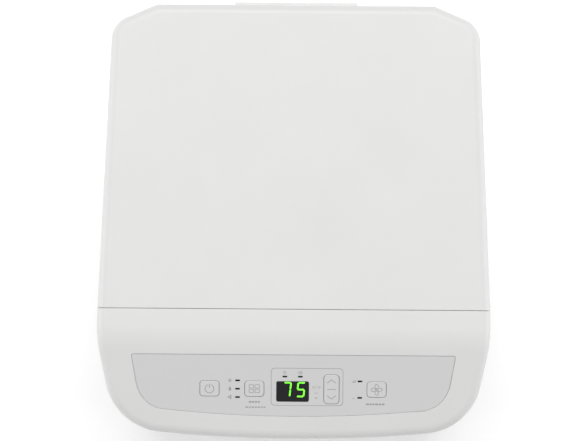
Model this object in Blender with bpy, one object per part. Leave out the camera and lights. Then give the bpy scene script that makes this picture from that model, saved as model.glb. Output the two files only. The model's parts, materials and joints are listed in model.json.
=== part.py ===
"""Portable air conditioner on four casters, built as the separate pieces it comes apart into.

Metres, +Z up, front towards -Y. The origin is on the floor under the middle of the whole unit.
The rear casing and the base pan carry the works. Moving pieces have their origin on their own axis.
"""

import itertools
import math

import bmesh
import bpy
from mathutils import Matrix, Vector

# Whole unit
HALF_WIDTH = 0.1810  # middle to the bend in each side, where the casing is widest
FRONT_Y = -0.210  # foremost point of the front casing
REAR_Y = 0.188  # flat back of the rear casing
HEIGHT = 0.712  # floor to the flat top
WALL = 0.0026  # casing wall
GAP = 0.0003  # between pieces that touch

# Plan outline of the casing
SEAM_BACK = 0.119  # seam between the casings, behind the foremost point
BEND_BACK = 0.093  # bend in each side, behind the foremost point
REAR_FLAT = 0.1272  # half the width of the flat back
BOW_RADIUS = 1.35  # bowed front
BOW_TURN = math.radians(4.9)  # how far the bow turns before the front corner
FRONT_CORNER = 0.056
SIDE_SWEEP = math.radians(11.5)  # sides close in ahead of the bend
REAR_SWEEP = math.radians(2.5)  # and behind it
REAR_BEVEL = math.radians(67)  # bevelled rear corners, from the Y axis
BEND_RADIUS = 0.15
REAR_CORNER = 0.022
REAR_BEND = 0.012
EDGE_RADIUS = 0.008  # rounded edge all round the top
ARC_STEP = math.radians(12)
SMALL_RADIUS, SMALL_STEP = 0.016, math.radians(30)
LARGE_RADIUS, LARGE_STEP = 0.5, math.radians(1.6)
EDGE_STEPS = 3

# Top of the front casing: a roll, then the control slope
ROLL_BACK = 0.102  # start of the roll, behind the foremost point
ROLL_RADIUS = 0.070
SLOPE = math.radians(17)
ROLL_STEPS = 3

# Controls, laid out on the slope: X across, V up the slope from the key row
KEY_ROW_BACK = 0.046  # key row, behind the foremost point
OVERLAY_HALF_TOP = 0.1483
OVERLAY_UP = 0.0324  # key row to the overlay's upper edge
OVERLAY_DOWN = 0.0262  # key row to the overlay's lower edge at the middle
OVERLAY_SIDE = math.radians(9.5)
OVERLAY_BOW = 1.1
OVERLAY_BOW_TURN = math.radians(6.3)
OVERLAY_CORNER = 0.018
OVERLAY_SHARP = 0.0015
OVERLAY_THICK = 0.0012
KEY_WIDE, KEY_HIGH = 0.0174, 0.0146
KEY_CORNER = 0.0028
KEY_TRAVEL = 0.0008
KEY_FLANGE = 0.0010
KEY_LIP = 0.0009  # flange beyond the cap
POWER_X, MODE_X, ROCKER_X, FAN_X = -0.0767, -0.0356, 0.0351, 0.0765
ROCKER_WIDE, ROCKER_HIGH = 0.0138, 0.0278
ROCKER_CORNER = 0.0035
ROCKER_GAP = 0.0004
ROCKER_DROP = 0.0010  # room over the rocker's flange, so that it can tilt
WINDOW_X, WINDOW_V = -0.0005, -0.0024
WINDOW_WIDE, WINDOW_HIGH = 0.0297, 0.0194
WINDOW_CORNER = 0.0018
WINDOW_LEDGE = 0.0018
STEM_SIZE = 0.0040
STEM_LENGTH = 0.0048
BOARD_HALF, BOARD_HIGH, BOARD_THICK = 0.092, 0.036, 0.0016
DIGIT_BLOCK_WIDE, DIGIT_BLOCK_HIGH = 0.0252, 0.0146

# Air outlet in the front wall
OUTLET_DROP = 0.088  # top of the flat to the top of the outlet
OUTLET_HIGH = 0.112
OUTLET_HALF = 0.131
OUTLET_DEEP = 0.084
DUCT_WALL = 0.0025
DUCT_RECESS = 0.0008  # outlet frame behind the front wall's face
CUT_OVERRUN = 0.010  # cutters run on past what they cut
BLADES, VANES = 4, 5
BLADE_BACK = 0.0280  # blade axes, behind the foremost point
BLADE_CHORD, BLADE_THICK = 0.0240, 0.0030
VANE_BACK = 0.068
VANE_CHORD, VANE_THICK = 0.0280, 0.0024
VANE_PITCH = 0.047
PIN_RADIUS, PIN_REACH = 0.0020, 0.0018
CRANK_RADIUS = 0.0015
CRANK_REACH = 0.0042
CRANK_BEYOND = 0.0040  # crank pin behind the trailing edge
EAR_THICK, EAR_LIP = 0.0016, 0.0008
LINK_THICK, LINK_HALF = 0.0020, 0.0024
BLADE_EAR_SHARE, VANE_EAR_SHARE = 0.42, 0.30
END_PLAY = 0.0006
LOUVRE_MOTOR_RADIUS, LOUVRE_MOTOR_LONG = 0.0095, 0.0100

# Rear of the casing
UPPER_WINDOW_DROP = 0.024  # top of the flat to the upper intake
UPPER_WINDOW_HIGH = 0.206
UPPER_WINDOW_HALF = 0.116
LOWER_WINDOW_UP = 0.046  # skirt to the lower intake
LOWER_WINDOW_HIGH = 0.176
LOWER_WINDOW_HALF = 0.108
PANEL_PLAY = 0.0005
PANEL_THICK, PANEL_FACE = 0.0080, 0.0040
PANEL_RIM = 0.012
PANEL_AXIS_UP, PANEL_AXIS_IN = 0.0046, 0.0050
PANEL_SLAT = 0.0035
UPPER_SLATS, LOWER_SLATS = 7, 5
FILTER_THICK = 0.0020
TAB_HALF, TAB_HIGH, TAB_PROUD, TAB_SLANT = 0.0565, 0.014, 0.0040, 0.004
LOWER_TAB_HALF, LOWER_TAB_PROUD, TAB_DOWN = 0.028, 0.0020, 0.0010
PANEL_PIN_RADIUS, PANEL_PIN_REACH = 0.0016, 0.0040

COLLAR_OVER_WINDOW = 0.008  # lower intake to the flange
COLLAR_RADIUS, COLLAR_WALL = 0.0705, 0.0025
COLLAR_LIP, COLLAR_FLANGE_THICK = 0.0105, 0.0025
COLLAR_REACH, COLLAR_INSIDE = 0.022, 0.010
GUARD_BAR, GUARD_IN = 0.0030, 0.0010
COLLAR_SIDES = 28
PORT_X = 0.106
PORT_BELOW_COLLAR = 0.029  # middles
PORT_HEAD, PORT_SHAFT, PORT_HEAD_THICK, PORT_DEEP = 0.0120, 0.0075, 0.0050, 0.0100
LOW_PORT_UP = 0.0205  # skirt to the lower drain
PORT_PLAY, PORT_EDGE = 0.0003, 0.0010
GLAND_BORE, GLAND_FLANGE, GLAND_LONG = 0.0042, 0.0020, 0.0150

# Handle cups
HANDLE_Y = 0.020
HANDLE_DROP = 0.150
HANDLE_WIDE, HANDLE_HIGH, HANDLE_DEEP, HANDLE_WALL = 0.110, 0.036, 0.028, 0.0022
HANDLE_CORNER = 0.014

# Inside
PAN_HIGH, PAN_WALL, PAN_FLOOR = 0.030, 0.0030, 0.0030
UPPER_ROOM = 0.262  # top of the flat to the deck's underside
DECK_THICK = 0.0030
COIL_HALF, COIL_THICK, COIL_IN = 0.124, 0.030, 0.0185
COIL_PLATE, COIL_PLATE_LIP = 0.0040, 0.0020
EVAPORATOR_HIGH, CONDENSER_HIGH = 0.200, 0.216
SCROLL_CLEAR, SCROLL_OPEN = 0.010, 0.030  # spiral beyond the wheel at the cut-off, and how far it opens
SCROLL_CUTOFF = math.radians(60)
SCROLL_DEEP, SCROLL_WALL = 0.076, 0.0020
SCROLL_FROM_COIL = 0.029
SCROLL_STEPS = 14
UPPER_THROAT, LOWER_THROAT = 0.125, 0.180
INLET_RADIUS = 0.058
WHEEL_RADIUS, WHEEL_DEEP, WHEEL_BLADE = 0.0680, 0.0560, 0.0110
WHEEL_PLATE, WHEEL_RING, WHEEL_BLADES = 0.0020, 0.0040, 10
WHEEL_HUB, WHEEL_PLAY = 0.012, 0.0060
SHAFT_RADIUS, SHAFT_REACH, SHAFT_PLAY, SHAFT_END = 0.0040, 0.020, 0.0003, 0.0030
MOTOR_RADIUS, MOTOR_LONG, MOTOR_EDGE, MOTOR_BOSS = 0.040, 0.058, 0.0040, 0.0080
AIR_DUCT_SHEET, AIR_DUCT_LEAD, AIR_DUCT_CLEAR = 0.0020, 0.012, 0.006
COMPRESSOR_X, COMPRESSOR_Y = -0.075, -0.095
COMPRESSOR_RADIUS, COMPRESSOR_HIGH, COMPRESSOR_EDGE = 0.050, 0.215, 0.016
ACCUMULATOR_Y = -0.060
ACCUMULATOR_RADIUS, ACCUMULATOR_UP, ACCUMULATOR_EDGE = 0.020, 0.030, 0.008
STRAP_HALF_WIDE, STRAP_HALF_HIGH = 0.008, 0.006
FOOT_RADIUS, FOOT_THICK, FOOT_UP, FOOT_CORNER = 0.062, 0.0030, 0.0120, 0.012
GROMMET_RADIUS, GROMMET_OUT = 0.008, 0.72  # size, and place as a share of the foot
STUB_RADIUS, STUB_LONG = 0.0050, 0.0160
LINE_RADIUS, LINE_BEND = 0.0045, 0.016
LINE_X, LINE_BELOW_DECK = 0.143, 0.100
SUCTION_UP, DISCHARGE_UP, DISCHARGE_IN, DISCHARGE_BACK = 0.045, 0.030, 0.016, 0.040
BOX_X, BOX_WIDE = 0.030, 0.078
BOX_BACK, BOX_DEEP, BOX_HIGH, BOX_LID = 0.045, 0.105, 0.210, 0.016
BOX_CORNER, BOX_LID_LIP = 0.0040, 0.0015

# Casters
CASTER_X, CASTER_FRONT_BACK, CASTER_REAR_IN = 0.125, 0.070, 0.064
ROLLER_RADIUS, ROLLER_WIDE = 0.0180, 0.0140
TRAIL = 0.0120
AXLE_RADIUS, AXLE_PLAY = 0.0025, 0.0003
YOKE_CHEEK, YOKE_PLAY, YOKE_TOP = 0.0025, 0.0010, 0.0030
YOKE_HALF, YOKE_OVER_ROLLER, HUB_SHOWING = 0.0090, 0.0020, 0.0090
ROLLER_EDGE, AXLE_LIP, AXLE_HEAD = 0.0015, 0.0010, 0.0012
SWIVEL_HUB, STEM_RADIUS, STEM_PLAY, STEM_REACH = 0.0100, 0.0040, 0.0003, 0.0180
BOSS_RADIUS, BOSS_HIGH = 0.0100, 0.0200

SCROLL_NEAR = WHEEL_RADIUS + SCROLL_CLEAR
SCROLL_FAR = SCROLL_NEAR + SCROLL_OPEN
SKIRT_Z = ROLLER_RADIUS * 2 + YOKE_OVER_ROLLER + YOKE_TOP + HUB_SHOWING
SEAM_Y = FRONT_Y + SEAM_BACK
TOP = HEIGHT - WALL
FLOOR_TOP = SKIRT_Z + PAN_FLOOR
DECK_Z = HEIGHT - UPPER_ROOM
DECK_TOP = DECK_Z + DECK_THICK
OUTLET_TOP_Z = HEIGHT - OUTLET_DROP
OUTLET_Z = OUTLET_TOP_Z - OUTLET_HIGH / 2
UPPER_WINDOW_Z = HEIGHT - UPPER_WINDOW_DROP - UPPER_WINDOW_HIGH
LOWER_WINDOW_Z = SKIRT_Z + LOWER_WINDOW_UP
COLLAR_FLANGE = COLLAR_RADIUS + COLLAR_LIP
COLLAR_Z = LOWER_WINDOW_Z + LOWER_WINDOW_HIGH + COLLAR_OVER_WINDOW + COLLAR_FLANGE
PORT_Z = COLLAR_Z - PORT_BELOW_COLLAR
LOW_PORT_Z = SKIRT_Z + LOW_PORT_UP

FINISHES = {
    "shell_white": ((0.83, 0.83, 0.83), 0.45, 0.0),
    "overlay_grey": ((0.66, 0.66, 0.66), 0.40, 0.0),
    "window_dark": ((0.03, 0.03, 0.035), 0.15, 0.0),
    "inner_grey": ((0.45, 0.46, 0.47), 0.55, 0.0),
    "filter_grey": ((0.25, 0.26, 0.27), 0.70, 0.0),
    "coil_aluminium": ((0.75, 0.76, 0.77), 0.35, 1.0),
    "pipe_copper": ((0.72, 0.38, 0.22), 0.35, 1.0),
    "motor_steel": ((0.55, 0.56, 0.57), 0.35, 1.0),
    "compressor_black": ((0.03, 0.03, 0.03), 0.35, 0.0),
    "pan_grey": ((0.30, 0.31, 0.32), 0.55, 0.0),
    "board_green": ((0.05, 0.20, 0.10), 0.40, 0.0),
    "rubber_black": ((0.02, 0.02, 0.02), 0.80, 0.0),
}


# ---------------------------------------------------------------- building blocks


def finish(name):
    """The named finish as a material, made once."""
    if name in bpy.data.materials:
        return bpy.data.materials[name]
    colour, roughness, metallic = FINISHES[name]
    material = bpy.data.materials.new(name)
    material.use_nodes = True
    shader = material.node_tree.nodes["Principled BSDF"]
    shader.inputs["Base Color"].default_value = (*colour, 1)
    shader.inputs["Roughness"].default_value = roughness
    shader.inputs["Metallic"].default_value = metallic
    return material


def add_object(name, data, material=None, place=None):
    """An object in the scene at the matrix place, with its finish."""
    piece = bpy.data.objects.new(name, data)
    bpy.context.scene.collection.objects.link(piece)
    if material and not data.materials:
        data.materials.append(finish(material))
    if place:
        piece.matrix_world = place
    return piece


def from_bmesh(name, shape, material=None, place=None):
    """An object from a bmesh whose faces are first turned outwards."""
    bmesh.ops.recalc_face_normals(shape, faces=shape.faces)
    mesh = bpy.data.meshes.new(name)
    shape.to_mesh(mesh)
    shape.free()
    return add_object(name, mesh, material, place)


def stack(name, rings, material=None, place=None):
    """A closed body through rings of equal counts in order, with the first and last ring filled."""
    shape = bmesh.new()
    loops = [[shape.verts.new(point) for point in ring] for ring in rings]
    for lower, upper in itertools.pairwise(loops):
        for i in range(len(lower)):
            j = (i + 1) % len(lower)
            shape.faces.new((lower[i], lower[j], upper[j], upper[i]))
    shape.faces.new(reversed(loops[0]))
    shape.faces.new(loops[-1])
    return from_bmesh(name, shape, material, place)


def prism(name, outline, low, high, material=None, place=None):
    """A flat outline of (x, y) points raised from low to high along Z."""
    rings = [[(x, y, z) for x, y in outline] for z in (low, high)]
    return stack(name, rings, material, place)


def block(name, low, high, material=None, place=None):
    """A box between two corners."""
    corners = [(low[0], low[1]), (high[0], low[1]), (high[0], high[1]), (low[0], high[1])]
    return prism(name, corners, low[2], high[2], material, place)


def circle(radius, height, sides):
    """A ring of points round the Z axis."""
    turns = [math.tau * i / sides for i in range(sides)]
    return [(radius * math.cos(turn), radius * math.sin(turn), height) for turn in turns]


def turned(name, profile, sides, material=None, place=None):
    """A turned body round Z through (radius, height) pairs in order, both ends filled."""
    piece = stack(name, [circle(r, z, sides) for r, z in profile], material, place)
    shade_round(piece)
    return piece


def ring_body(name, profile, sides, material=None, place=None):
    """A turned body with a hole through it: profile is a closed loop of (radius, height) pairs."""
    shape = bmesh.new()
    loops = [[shape.verts.new(point) for point in circle(r, z, sides)] for r, z in profile]
    for lower, upper in itertools.pairwise(loops + loops[:1]):
        for i in range(sides):
            j = (i + 1) % sides
            shape.faces.new((lower[i], lower[j], upper[j], upper[i]))
    piece = from_bmesh(name, shape, material, place)
    shade_round(piece)
    return piece


def cell_solid(name, counts, corner, filled, material=None, place=None, closed_round=False):
    """A body made of the filled cells of a grid. corner(i, j, k) places the grid's corners.

    closed_round joins the last slice of i to the first, for a grid that runs round an axis.
    """
    shape = bmesh.new()
    made = {}

    def wrapped(cell):
        return (cell[0] % counts[0], *cell[1:]) if closed_round else cell

    def vertex(key):
        key = wrapped(key)
        if key not in made:
            made[key] = shape.verts.new(corner(*key))
        return made[key]

    def is_filled(cell):
        cell = wrapped(cell)
        return all(0 <= index < count for index, count in zip(cell, counts)) and filled(*cell)

    for cell in itertools.product(*map(range, counts)):
        if not filled(*cell):
            continue
        for axis, side in itertools.product(range(3), (0, 1)):
            beyond = tuple(c + (2 * side - 1) * (n == axis) for n, c in enumerate(cell))
            if is_filled(beyond):
                continue
            across, along = (axis + 1) % 3, (axis + 2) % 3
            quad = []
            for a, b in ((0, 0), (1, 0), (1, 1), (0, 1)):
                steps = {axis: side, across: a, along: b}
                quad.append(vertex(tuple(c + steps[n] for n, c in enumerate(cell))))
            shape.faces.new(quad)
    return from_bmesh(name, shape, material, place)


def combine(piece, tool, operation):
    """Joins tool to piece or cuts it away, and removes the tool."""
    modifier = piece.modifiers.new(operation, "BOOLEAN")
    modifier.operation = operation
    modifier.object = tool
    graph = bpy.context.evaluated_depsgraph_get()
    result = bpy.data.meshes.new_from_object(piece.evaluated_get(graph))
    piece.modifiers.clear()
    piece.data = result
    bpy.data.objects.remove(tool)


def cut(piece, *tools):
    for tool in tools:
        combine(piece, tool, "DIFFERENCE")


def join(piece, *tools):
    for tool in tools:
        combine(piece, tool, "UNION")


def shade_round(piece):
    piece.data.shade_smooth()
    piece.data.set_sharp_from_angle(angle=math.radians(30))


def rounded(points, radii, closed=True):
    """(point, outward) pairs along straight runs joined by arcs, anticlockwise.

    Each point but the ends of an open path is a corner, rounded by its own radius.
    """
    if closed:
        points = [points[-1], *points, points[0]]
    path = []
    for before, corner, after, radius in zip(points, points[1:], points[2:], radii):
        arriving = (corner - before).normalized()
        leaving = (after - corner).normalized()
        turn = math.acos(arriving.dot(leaving))
        start = corner - arriving * radius * math.tan(turn / 2)
        centre = start + Vector((-arriving.y, arriving.x)) * radius
        heading = math.atan2(arriving.y, arriving.x)
        steps = max(1, round(turn / arc_step(radius)))
        for step in range(steps + 1):
            angle = heading + turn * step / steps
            outward = Vector((math.sin(angle), -math.cos(angle)))
            path.append((centre + outward * radius, outward))
    return path


def arc_step(radius):
    """Small corners take few facets, and wide bows many."""
    if radius < SMALL_RADIUS:
        return SMALL_STEP
    return LARGE_STEP if radius > LARGE_RADIUS else ARC_STEP


def inset(path, distance):
    """The path's points, moved in by a distance."""
    return [point - outward * distance for point, outward in path]


def rounded_box(half_x, half_y, radius, grow=0.0):
    """A rectangle about the origin with rounded corners, grown all round."""
    x, y = half_x + grow, half_y + grow
    corners = [Vector(c) for c in ((-x, -y), (x, -y), (x, y), (-x, y))]
    return [point for point, _ in rounded(corners, [radius + grow] * 4)]


def facing(direction):
    """Turns local +Z to a world direction, given as an axis letter with a sign."""
    turns = {
        "+X": Matrix.Rotation(math.pi / 2, 4, "Y"),
        "-X": Matrix.Rotation(-math.pi / 2, 4, "Y"),
        "+Y": Matrix.Rotation(-math.pi / 2, 4, "X"),
        "-Y": Matrix.Rotation(math.pi / 2, 4, "X"),
        "+Z": Matrix.Identity(4),
    }
    return turns[direction]


def at(x, y, z, direction="+Z"):
    return Matrix.Translation((x, y, z)) @ facing(direction)


# ---------------------------------------------------------------- casing


def meeting_point(a, along_a, b, along_b):
    """Where the line through a crosses the line through b."""
    return a + along_a * ((b - a).cross(along_b) / along_a.cross(along_b))


def heading(angle):
    return Vector((math.cos(angle), math.sin(angle)))


def casing_outline():
    """The right half of the casing in plan, from the front middle round to the flat back."""
    right_angle = math.pi / 2
    apex = Vector((0, FRONT_Y))
    bow = Vector((BOW_RADIUS * math.tan(BOW_TURN / 2), FRONT_Y))
    bend = Vector((HALF_WIDTH, FRONT_Y + BEND_BACK))
    back = Vector((REAR_FLAT, REAR_Y))
    front_side = heading(right_angle - SIDE_SWEEP)
    rear_side = heading(right_angle + REAR_SWEEP)
    front_corner = meeting_point(bow, heading(BOW_TURN), bend, front_side)
    rear_corner = meeting_point(bend, rear_side, back, heading(right_angle + REAR_BEVEL))
    corners = [apex, bow, front_corner, bend, rear_corner, back, Vector((0, REAR_Y))]
    radii = [BOW_RADIUS, FRONT_CORNER, BEND_RADIUS, REAR_CORNER, REAR_BEND]
    return [pair for pair in rounded(corners, radii, closed=False) if pair[0].x > 1e-6]


def row_at(outline, y):
    """The outline's point and outward direction at a place y on its side, where y only rises."""
    for (p, p_out), (q, q_out) in itertools.pairwise(outline):
        if p.y <= y <= q.y:
            share = (y - p.y) / (q.y - p.y)
            return p.lerp(q, share), p_out.lerp(q_out, share).normalized()
    raise ValueError("the outline doesn't pass there")


def casing_rows(first_y, last_y, overrun):
    """The outline ahead of last_y or behind first_y, with rows for the roll, and square ends at the seam.

    overrun lengthens it past the seam, for a cutter.
    """
    outline = casing_outline()
    roll_start = FRONT_Y + ROLL_BACK
    roll_rows = [
        roll_start - ROLL_RADIUS * math.sin(SLOPE * step / ROLL_STEPS) for step in range(ROLL_STEPS + 1)
    ]
    rows = outline + [row_at(outline, y) for y in roll_rows]
    square = Vector((1, 0))
    if first_y is not None:
        rows = [row for row in rows if row[0].y > first_y + 1e-5]
        seam, beyond = row_at(outline, first_y)[0], Vector((0, -overrun))
    if last_y is not None:
        rows = [row for row in rows if row[0].y < last_y - 1e-5]
        seam, beyond = row_at(outline, last_y)[0], Vector((0, overrun))
    rows.append((seam, square))
    if overrun:
        rows.append((seam + beyond, square))
    return sorted(rows, key=lambda row: (row[0].y, row[0].x if row[0].y < seam.y - overrun else -row[0].x))


def top_height(y):
    """Height of the top: flat, then a roll, then the control slope down to the front."""
    ahead = FRONT_Y + ROLL_BACK - y
    rolled = ROLL_RADIUS * math.sin(SLOPE)
    if ahead <= 0:
        return HEIGHT
    if ahead < rolled:
        return HEIGHT - ROLL_RADIUS + math.sqrt(ROLL_RADIUS**2 - ahead**2)
    return HEIGHT - ROLL_RADIUS * (1 - math.cos(SLOPE)) - (ahead - rolled) * math.tan(SLOPE)


def casing_body(name, rows, wall, foot_z, material=None):
    """A solid under the casing's top, in ribs from front to rear, mirrored left to right."""
    shape = bmesh.new()
    ribs = []
    for point, outward in rows:
        foot = point - outward * wall
        side = [(foot.x, foot.y, foot_z)]
        for step in range(EDGE_STEPS + 1):
            turn = math.pi / 2 * step / EDGE_STEPS
            inward = wall + (EDGE_RADIUS - wall) * (1 - math.cos(turn))
            drop = wall + (EDGE_RADIUS - wall) * (1 - math.sin(turn))
            p = point - outward * inward
            side.append((p.x, p.y, top_height(p.y) - drop))
        mirrored = [(-x, y, z) for x, y, z in reversed(side)]
        ribs.append([shape.verts.new(p) for p in side + mirrored])
    count = len(ribs[0])
    for near, far in itertools.pairwise(ribs):
        for i in range(count):
            j = (i + 1) % count
            shape.faces.new((near[i], near[j], far[j], far[i]))
    for end in (ribs[0], ribs[-1]):
        for i in range(count // 2 - 1):
            shape.faces.new((end[i], end[i + 1], end[count - 2 - i], end[count - 1 - i]))
    return from_bmesh(name, shape, material)


def slope_place():
    """The control slope's own frame: X across, Y up the slope, Z out of it."""
    y = FRONT_Y + KEY_ROW_BACK
    return Matrix.Translation((0, y, top_height(y))) @ Matrix.Rotation(SLOPE, 4, "X")


def overlay_outline(grow=0.0):
    """The overlay's outline on the slope, bowed along its lower edge like the front."""
    lower = -OVERLAY_DOWN
    bow = Vector((OVERLAY_BOW * math.tan(OVERLAY_BOW_TURN / 2), lower))
    top = Vector((OVERLAY_HALF_TOP, OVERLAY_UP))
    corner = meeting_point(bow, heading(OVERLAY_BOW_TURN), top, heading(math.pi / 2 - OVERLAY_SIDE))
    right = [bow, corner, top]
    radii = [OVERLAY_BOW, OVERLAY_CORNER, OVERLAY_SHARP]
    corners = right + [Vector((-p.x, p.y)) for p in reversed(right)]
    # Both halves of the bow meet at the middle, so that point comes twice.
    path = rounded(corners, radii + radii[::-1])
    points = []
    for point in inset(path, -grow):
        if not points or (point - points[-1]).length > 1e-5:
            points.append(point)
    if (points[0] - points[-1]).length < 1e-5:
        points.pop()
    return points


def moved(outline, x, v):
    return [point + Vector((x, v)) for point in outline]


def key_outlines(grow=0.0):
    """Each control key's outline on the slope, by name."""
    key = rounded_box(KEY_WIDE / 2, KEY_HIGH / 2, KEY_CORNER, grow)
    rocker = rounded_box(ROCKER_WIDE / 2, ROCKER_HIGH / 2, ROCKER_CORNER, grow)
    return {
        "power_key": (POWER_X, key),
        "mode_key": (MODE_X, key),
        "temp_rocker_key": (ROCKER_X, rocker),
        "fan_speed_key": (FAN_X, key),
    }


def window_outline(grow=0.0):
    box = rounded_box(WINDOW_WIDE / 2, WINDOW_HIGH / 2, WINDOW_CORNER, grow)
    return moved(box, WINDOW_X, WINDOW_V)


def key_hole_cutters(depth, height):
    for name, (x, outline) in key_outlines(ROCKER_GAP).items():
        yield prism(name + "_hole", moved(outline, x, 0), -depth, height, place=slope_place())


def duct_outline(inward):
    half, high = OUTLET_HALF - inward, OUTLET_HIGH / 2 - inward
    return [(-half, -high), (half, -high), (half, high), (-half, high)]


def make_front_casing():
    rows = casing_rows(None, SEAM_Y - GAP / 2, 0)
    casing = casing_body("front_casing", rows, 0, SKIRT_Z, "shell_white")
    inner_rows = casing_rows(None, SEAM_Y - GAP / 2, WALL * 4)
    cut(casing, casing_body("hollow", inner_rows, WALL, SKIRT_Z - WALL * 4))
    recess = prism("recess", overlay_outline(GAP), -OVERLAY_THICK - GAP, WALL * 4, place=slope_place())
    cut(casing, recess, *key_hole_cutters(WALL * 3, WALL * 3))
    ledge = prism("window_hole", window_outline(-WINDOW_LEDGE), -WALL * 3, WALL * 3, place=slope_place())
    cut(casing, ledge)
    mouth = at(0, FRONT_Y, OUTLET_Z, "+Y")
    opening = prism("outlet_opening", duct_outline(-GAP), -CUT_OVERRUN * 2, OUTLET_DEEP / 2, place=mouth)
    cut(casing, opening)
    return casing


def window_cutter(name, half, low_z, high):
    return block(name, (-half, REAR_Y - WALL * 3, low_z), (half, REAR_Y + WALL * 3, low_z + high))


def bore_cutter(name, radius, x, y, z, direction, reach, sides):
    return turned(name, [(radius, -reach), (radius, reach)], sides, place=at(x, y, z, direction))


def handle_place(side):
    """Frame of a handle cup: Z out of the side wall, X up, at the wall's face."""
    point, outward = row_at(casing_outline(), HANDLE_Y)
    turn = math.atan2(outward.y, outward.x)
    place = Matrix.Translation((point.x, point.y, HEIGHT - HANDLE_DROP))
    place = place @ Matrix.Rotation(turn, 4, "Z") @ facing("+X")
    return place if side > 0 else Matrix.Diagonal((-1, 1, 1, 1)) @ place


def handle_outline(grow):
    return rounded_box(HANDLE_HIGH / 2, HANDLE_WIDE / 2, HANDLE_CORNER, grow)


def mirrored_stack(name, rings, side, place, material=None):
    """A stack whose points are already in the world, mirrored for the left side."""
    world = [[place @ Vector(point) for point in ring] for ring in rings]
    return stack(name, world, material)


def make_rear_casing():
    rows = casing_rows(SEAM_Y + GAP / 2, None, 0)
    casing = casing_body("rear_casing", rows, 0, SKIRT_Z, "shell_white")
    inner_rows = casing_rows(SEAM_Y + GAP / 2, None, WALL * 4)
    cut(casing, casing_body("hollow", inner_rows, WALL, SKIRT_Z - WALL * 4))
    for side in (-1, 1):
        rings = [[(*point, z) for point in handle_outline(GAP)] for z in (-WALL * 3, WALL * 3)]
        cut(casing, mirrored_stack("handle_hole", rings, side, handle_place(side)))
    cut(
        casing,
        window_cutter("upper_window", UPPER_WINDOW_HALF, UPPER_WINDOW_Z, UPPER_WINDOW_HIGH),
        window_cutter("lower_window", LOWER_WINDOW_HALF, LOWER_WINDOW_Z, LOWER_WINDOW_HIGH),
        bore_cutter("collar_hole", COLLAR_RADIUS + GAP, 0, REAR_Y, COLLAR_Z, "+Y", WALL * 3, COLLAR_SIDES),
        bore_cutter("low_drain_hole", PORT_SHAFT + PORT_PLAY, 0, REAR_Y, LOW_PORT_Z, "+Y", WALL * 2, 12),
        bore_cutter("drain_hole", PORT_SHAFT + PORT_PLAY, PORT_X, REAR_Y, PORT_Z, "+Y", WALL * 3, 12),
        bore_cutter("cord_hole", PORT_SHAFT + PORT_PLAY, -PORT_X, REAR_Y, PORT_Z, "+Y", WALL * 3, 12),
    )
    return casing


def full_outline(distance):
    """The whole casing outline in plan, moved in by a distance."""
    right = inset(casing_outline(), distance)
    return right + [Vector((-p.x, p.y)) for p in reversed(right)]


def make_base_pan():
    """A tray inside the skirt, with a boss for each caster's stem and a drain through its back wall."""
    outer = full_outline(WALL + GAP)
    inner = full_outline(WALL + GAP + PAN_WALL)
    rim = SKIRT_Z + PAN_HIGH
    rings = [[(p.x, p.y, z) for p in outer] for z in (SKIRT_Z, rim)]
    rings += [[(p.x, p.y, z) for p in inner] for z in (rim, FLOOR_TOP)]
    pan = stack("base_pan", rings, "pan_grey")
    for x, y in caster_places():
        boss = [(BOSS_RADIUS, SKIRT_Z + PAN_FLOOR / 2), (BOSS_RADIUS, SKIRT_Z + BOSS_HIGH)]
        join(pan, turned("boss", boss, 12, place=at(x, y, 0)))
        bore = [(STEM_RADIUS + STEM_PLAY, 0), (STEM_RADIUS + STEM_PLAY, SKIRT_Z + STEM_REACH)]
        cut(pan, turned("stem_bore", bore, 12, place=at(x, y, 0)))
    drain_y = REAR_Y - WALL - PAN_WALL
    cut(pan, bore_cutter("drain", PORT_SHAFT + PORT_PLAY, 0, drain_y, LOW_PORT_Z, "+Y", PAN_WALL * 2, 12))
    return pan


def make_middle_deck():
    """The floor of the cold side, with a hole for the refrigerant line and room for the exhaust collar."""
    outline = full_outline(WALL + GAP)
    deck = prism("middle_deck", outline, DECK_Z, DECK_TOP, "inner_grey")
    hole = bore_cutter(
        "line_hole", LINE_RADIUS * 1.6, -LINE_X, coil_y(), DECK_Z, "+Z", DECK_THICK * 3, 12
    )
    cut(deck, hole)
    inside = COLLAR_INSIDE + GAP
    cut(deck, bore_cutter("room", COLLAR_RADIUS + GAP, 0, REAR_Y, COLLAR_Z, "+Y", inside, COLLAR_SIDES))
    return deck


def make_handle_cups():
    for name, side in (("left_handle_cup", -1), ("right_handle_cup", 1)):
        mouth, floor = -GAP, -HANDLE_DEEP
        inner, outer = handle_outline(-HANDLE_WALL), handle_outline(0)
        rings = [
            [(*p, floor + HANDLE_WALL) for p in inner],
            [(*p, mouth) for p in inner],
            [(*p, mouth) for p in outer],
            [(*p, floor) for p in outer],
        ]
        mirrored_stack(name, rings, side, handle_place(side), "inner_grey")


# ---------------------------------------------------------------- controls


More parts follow.
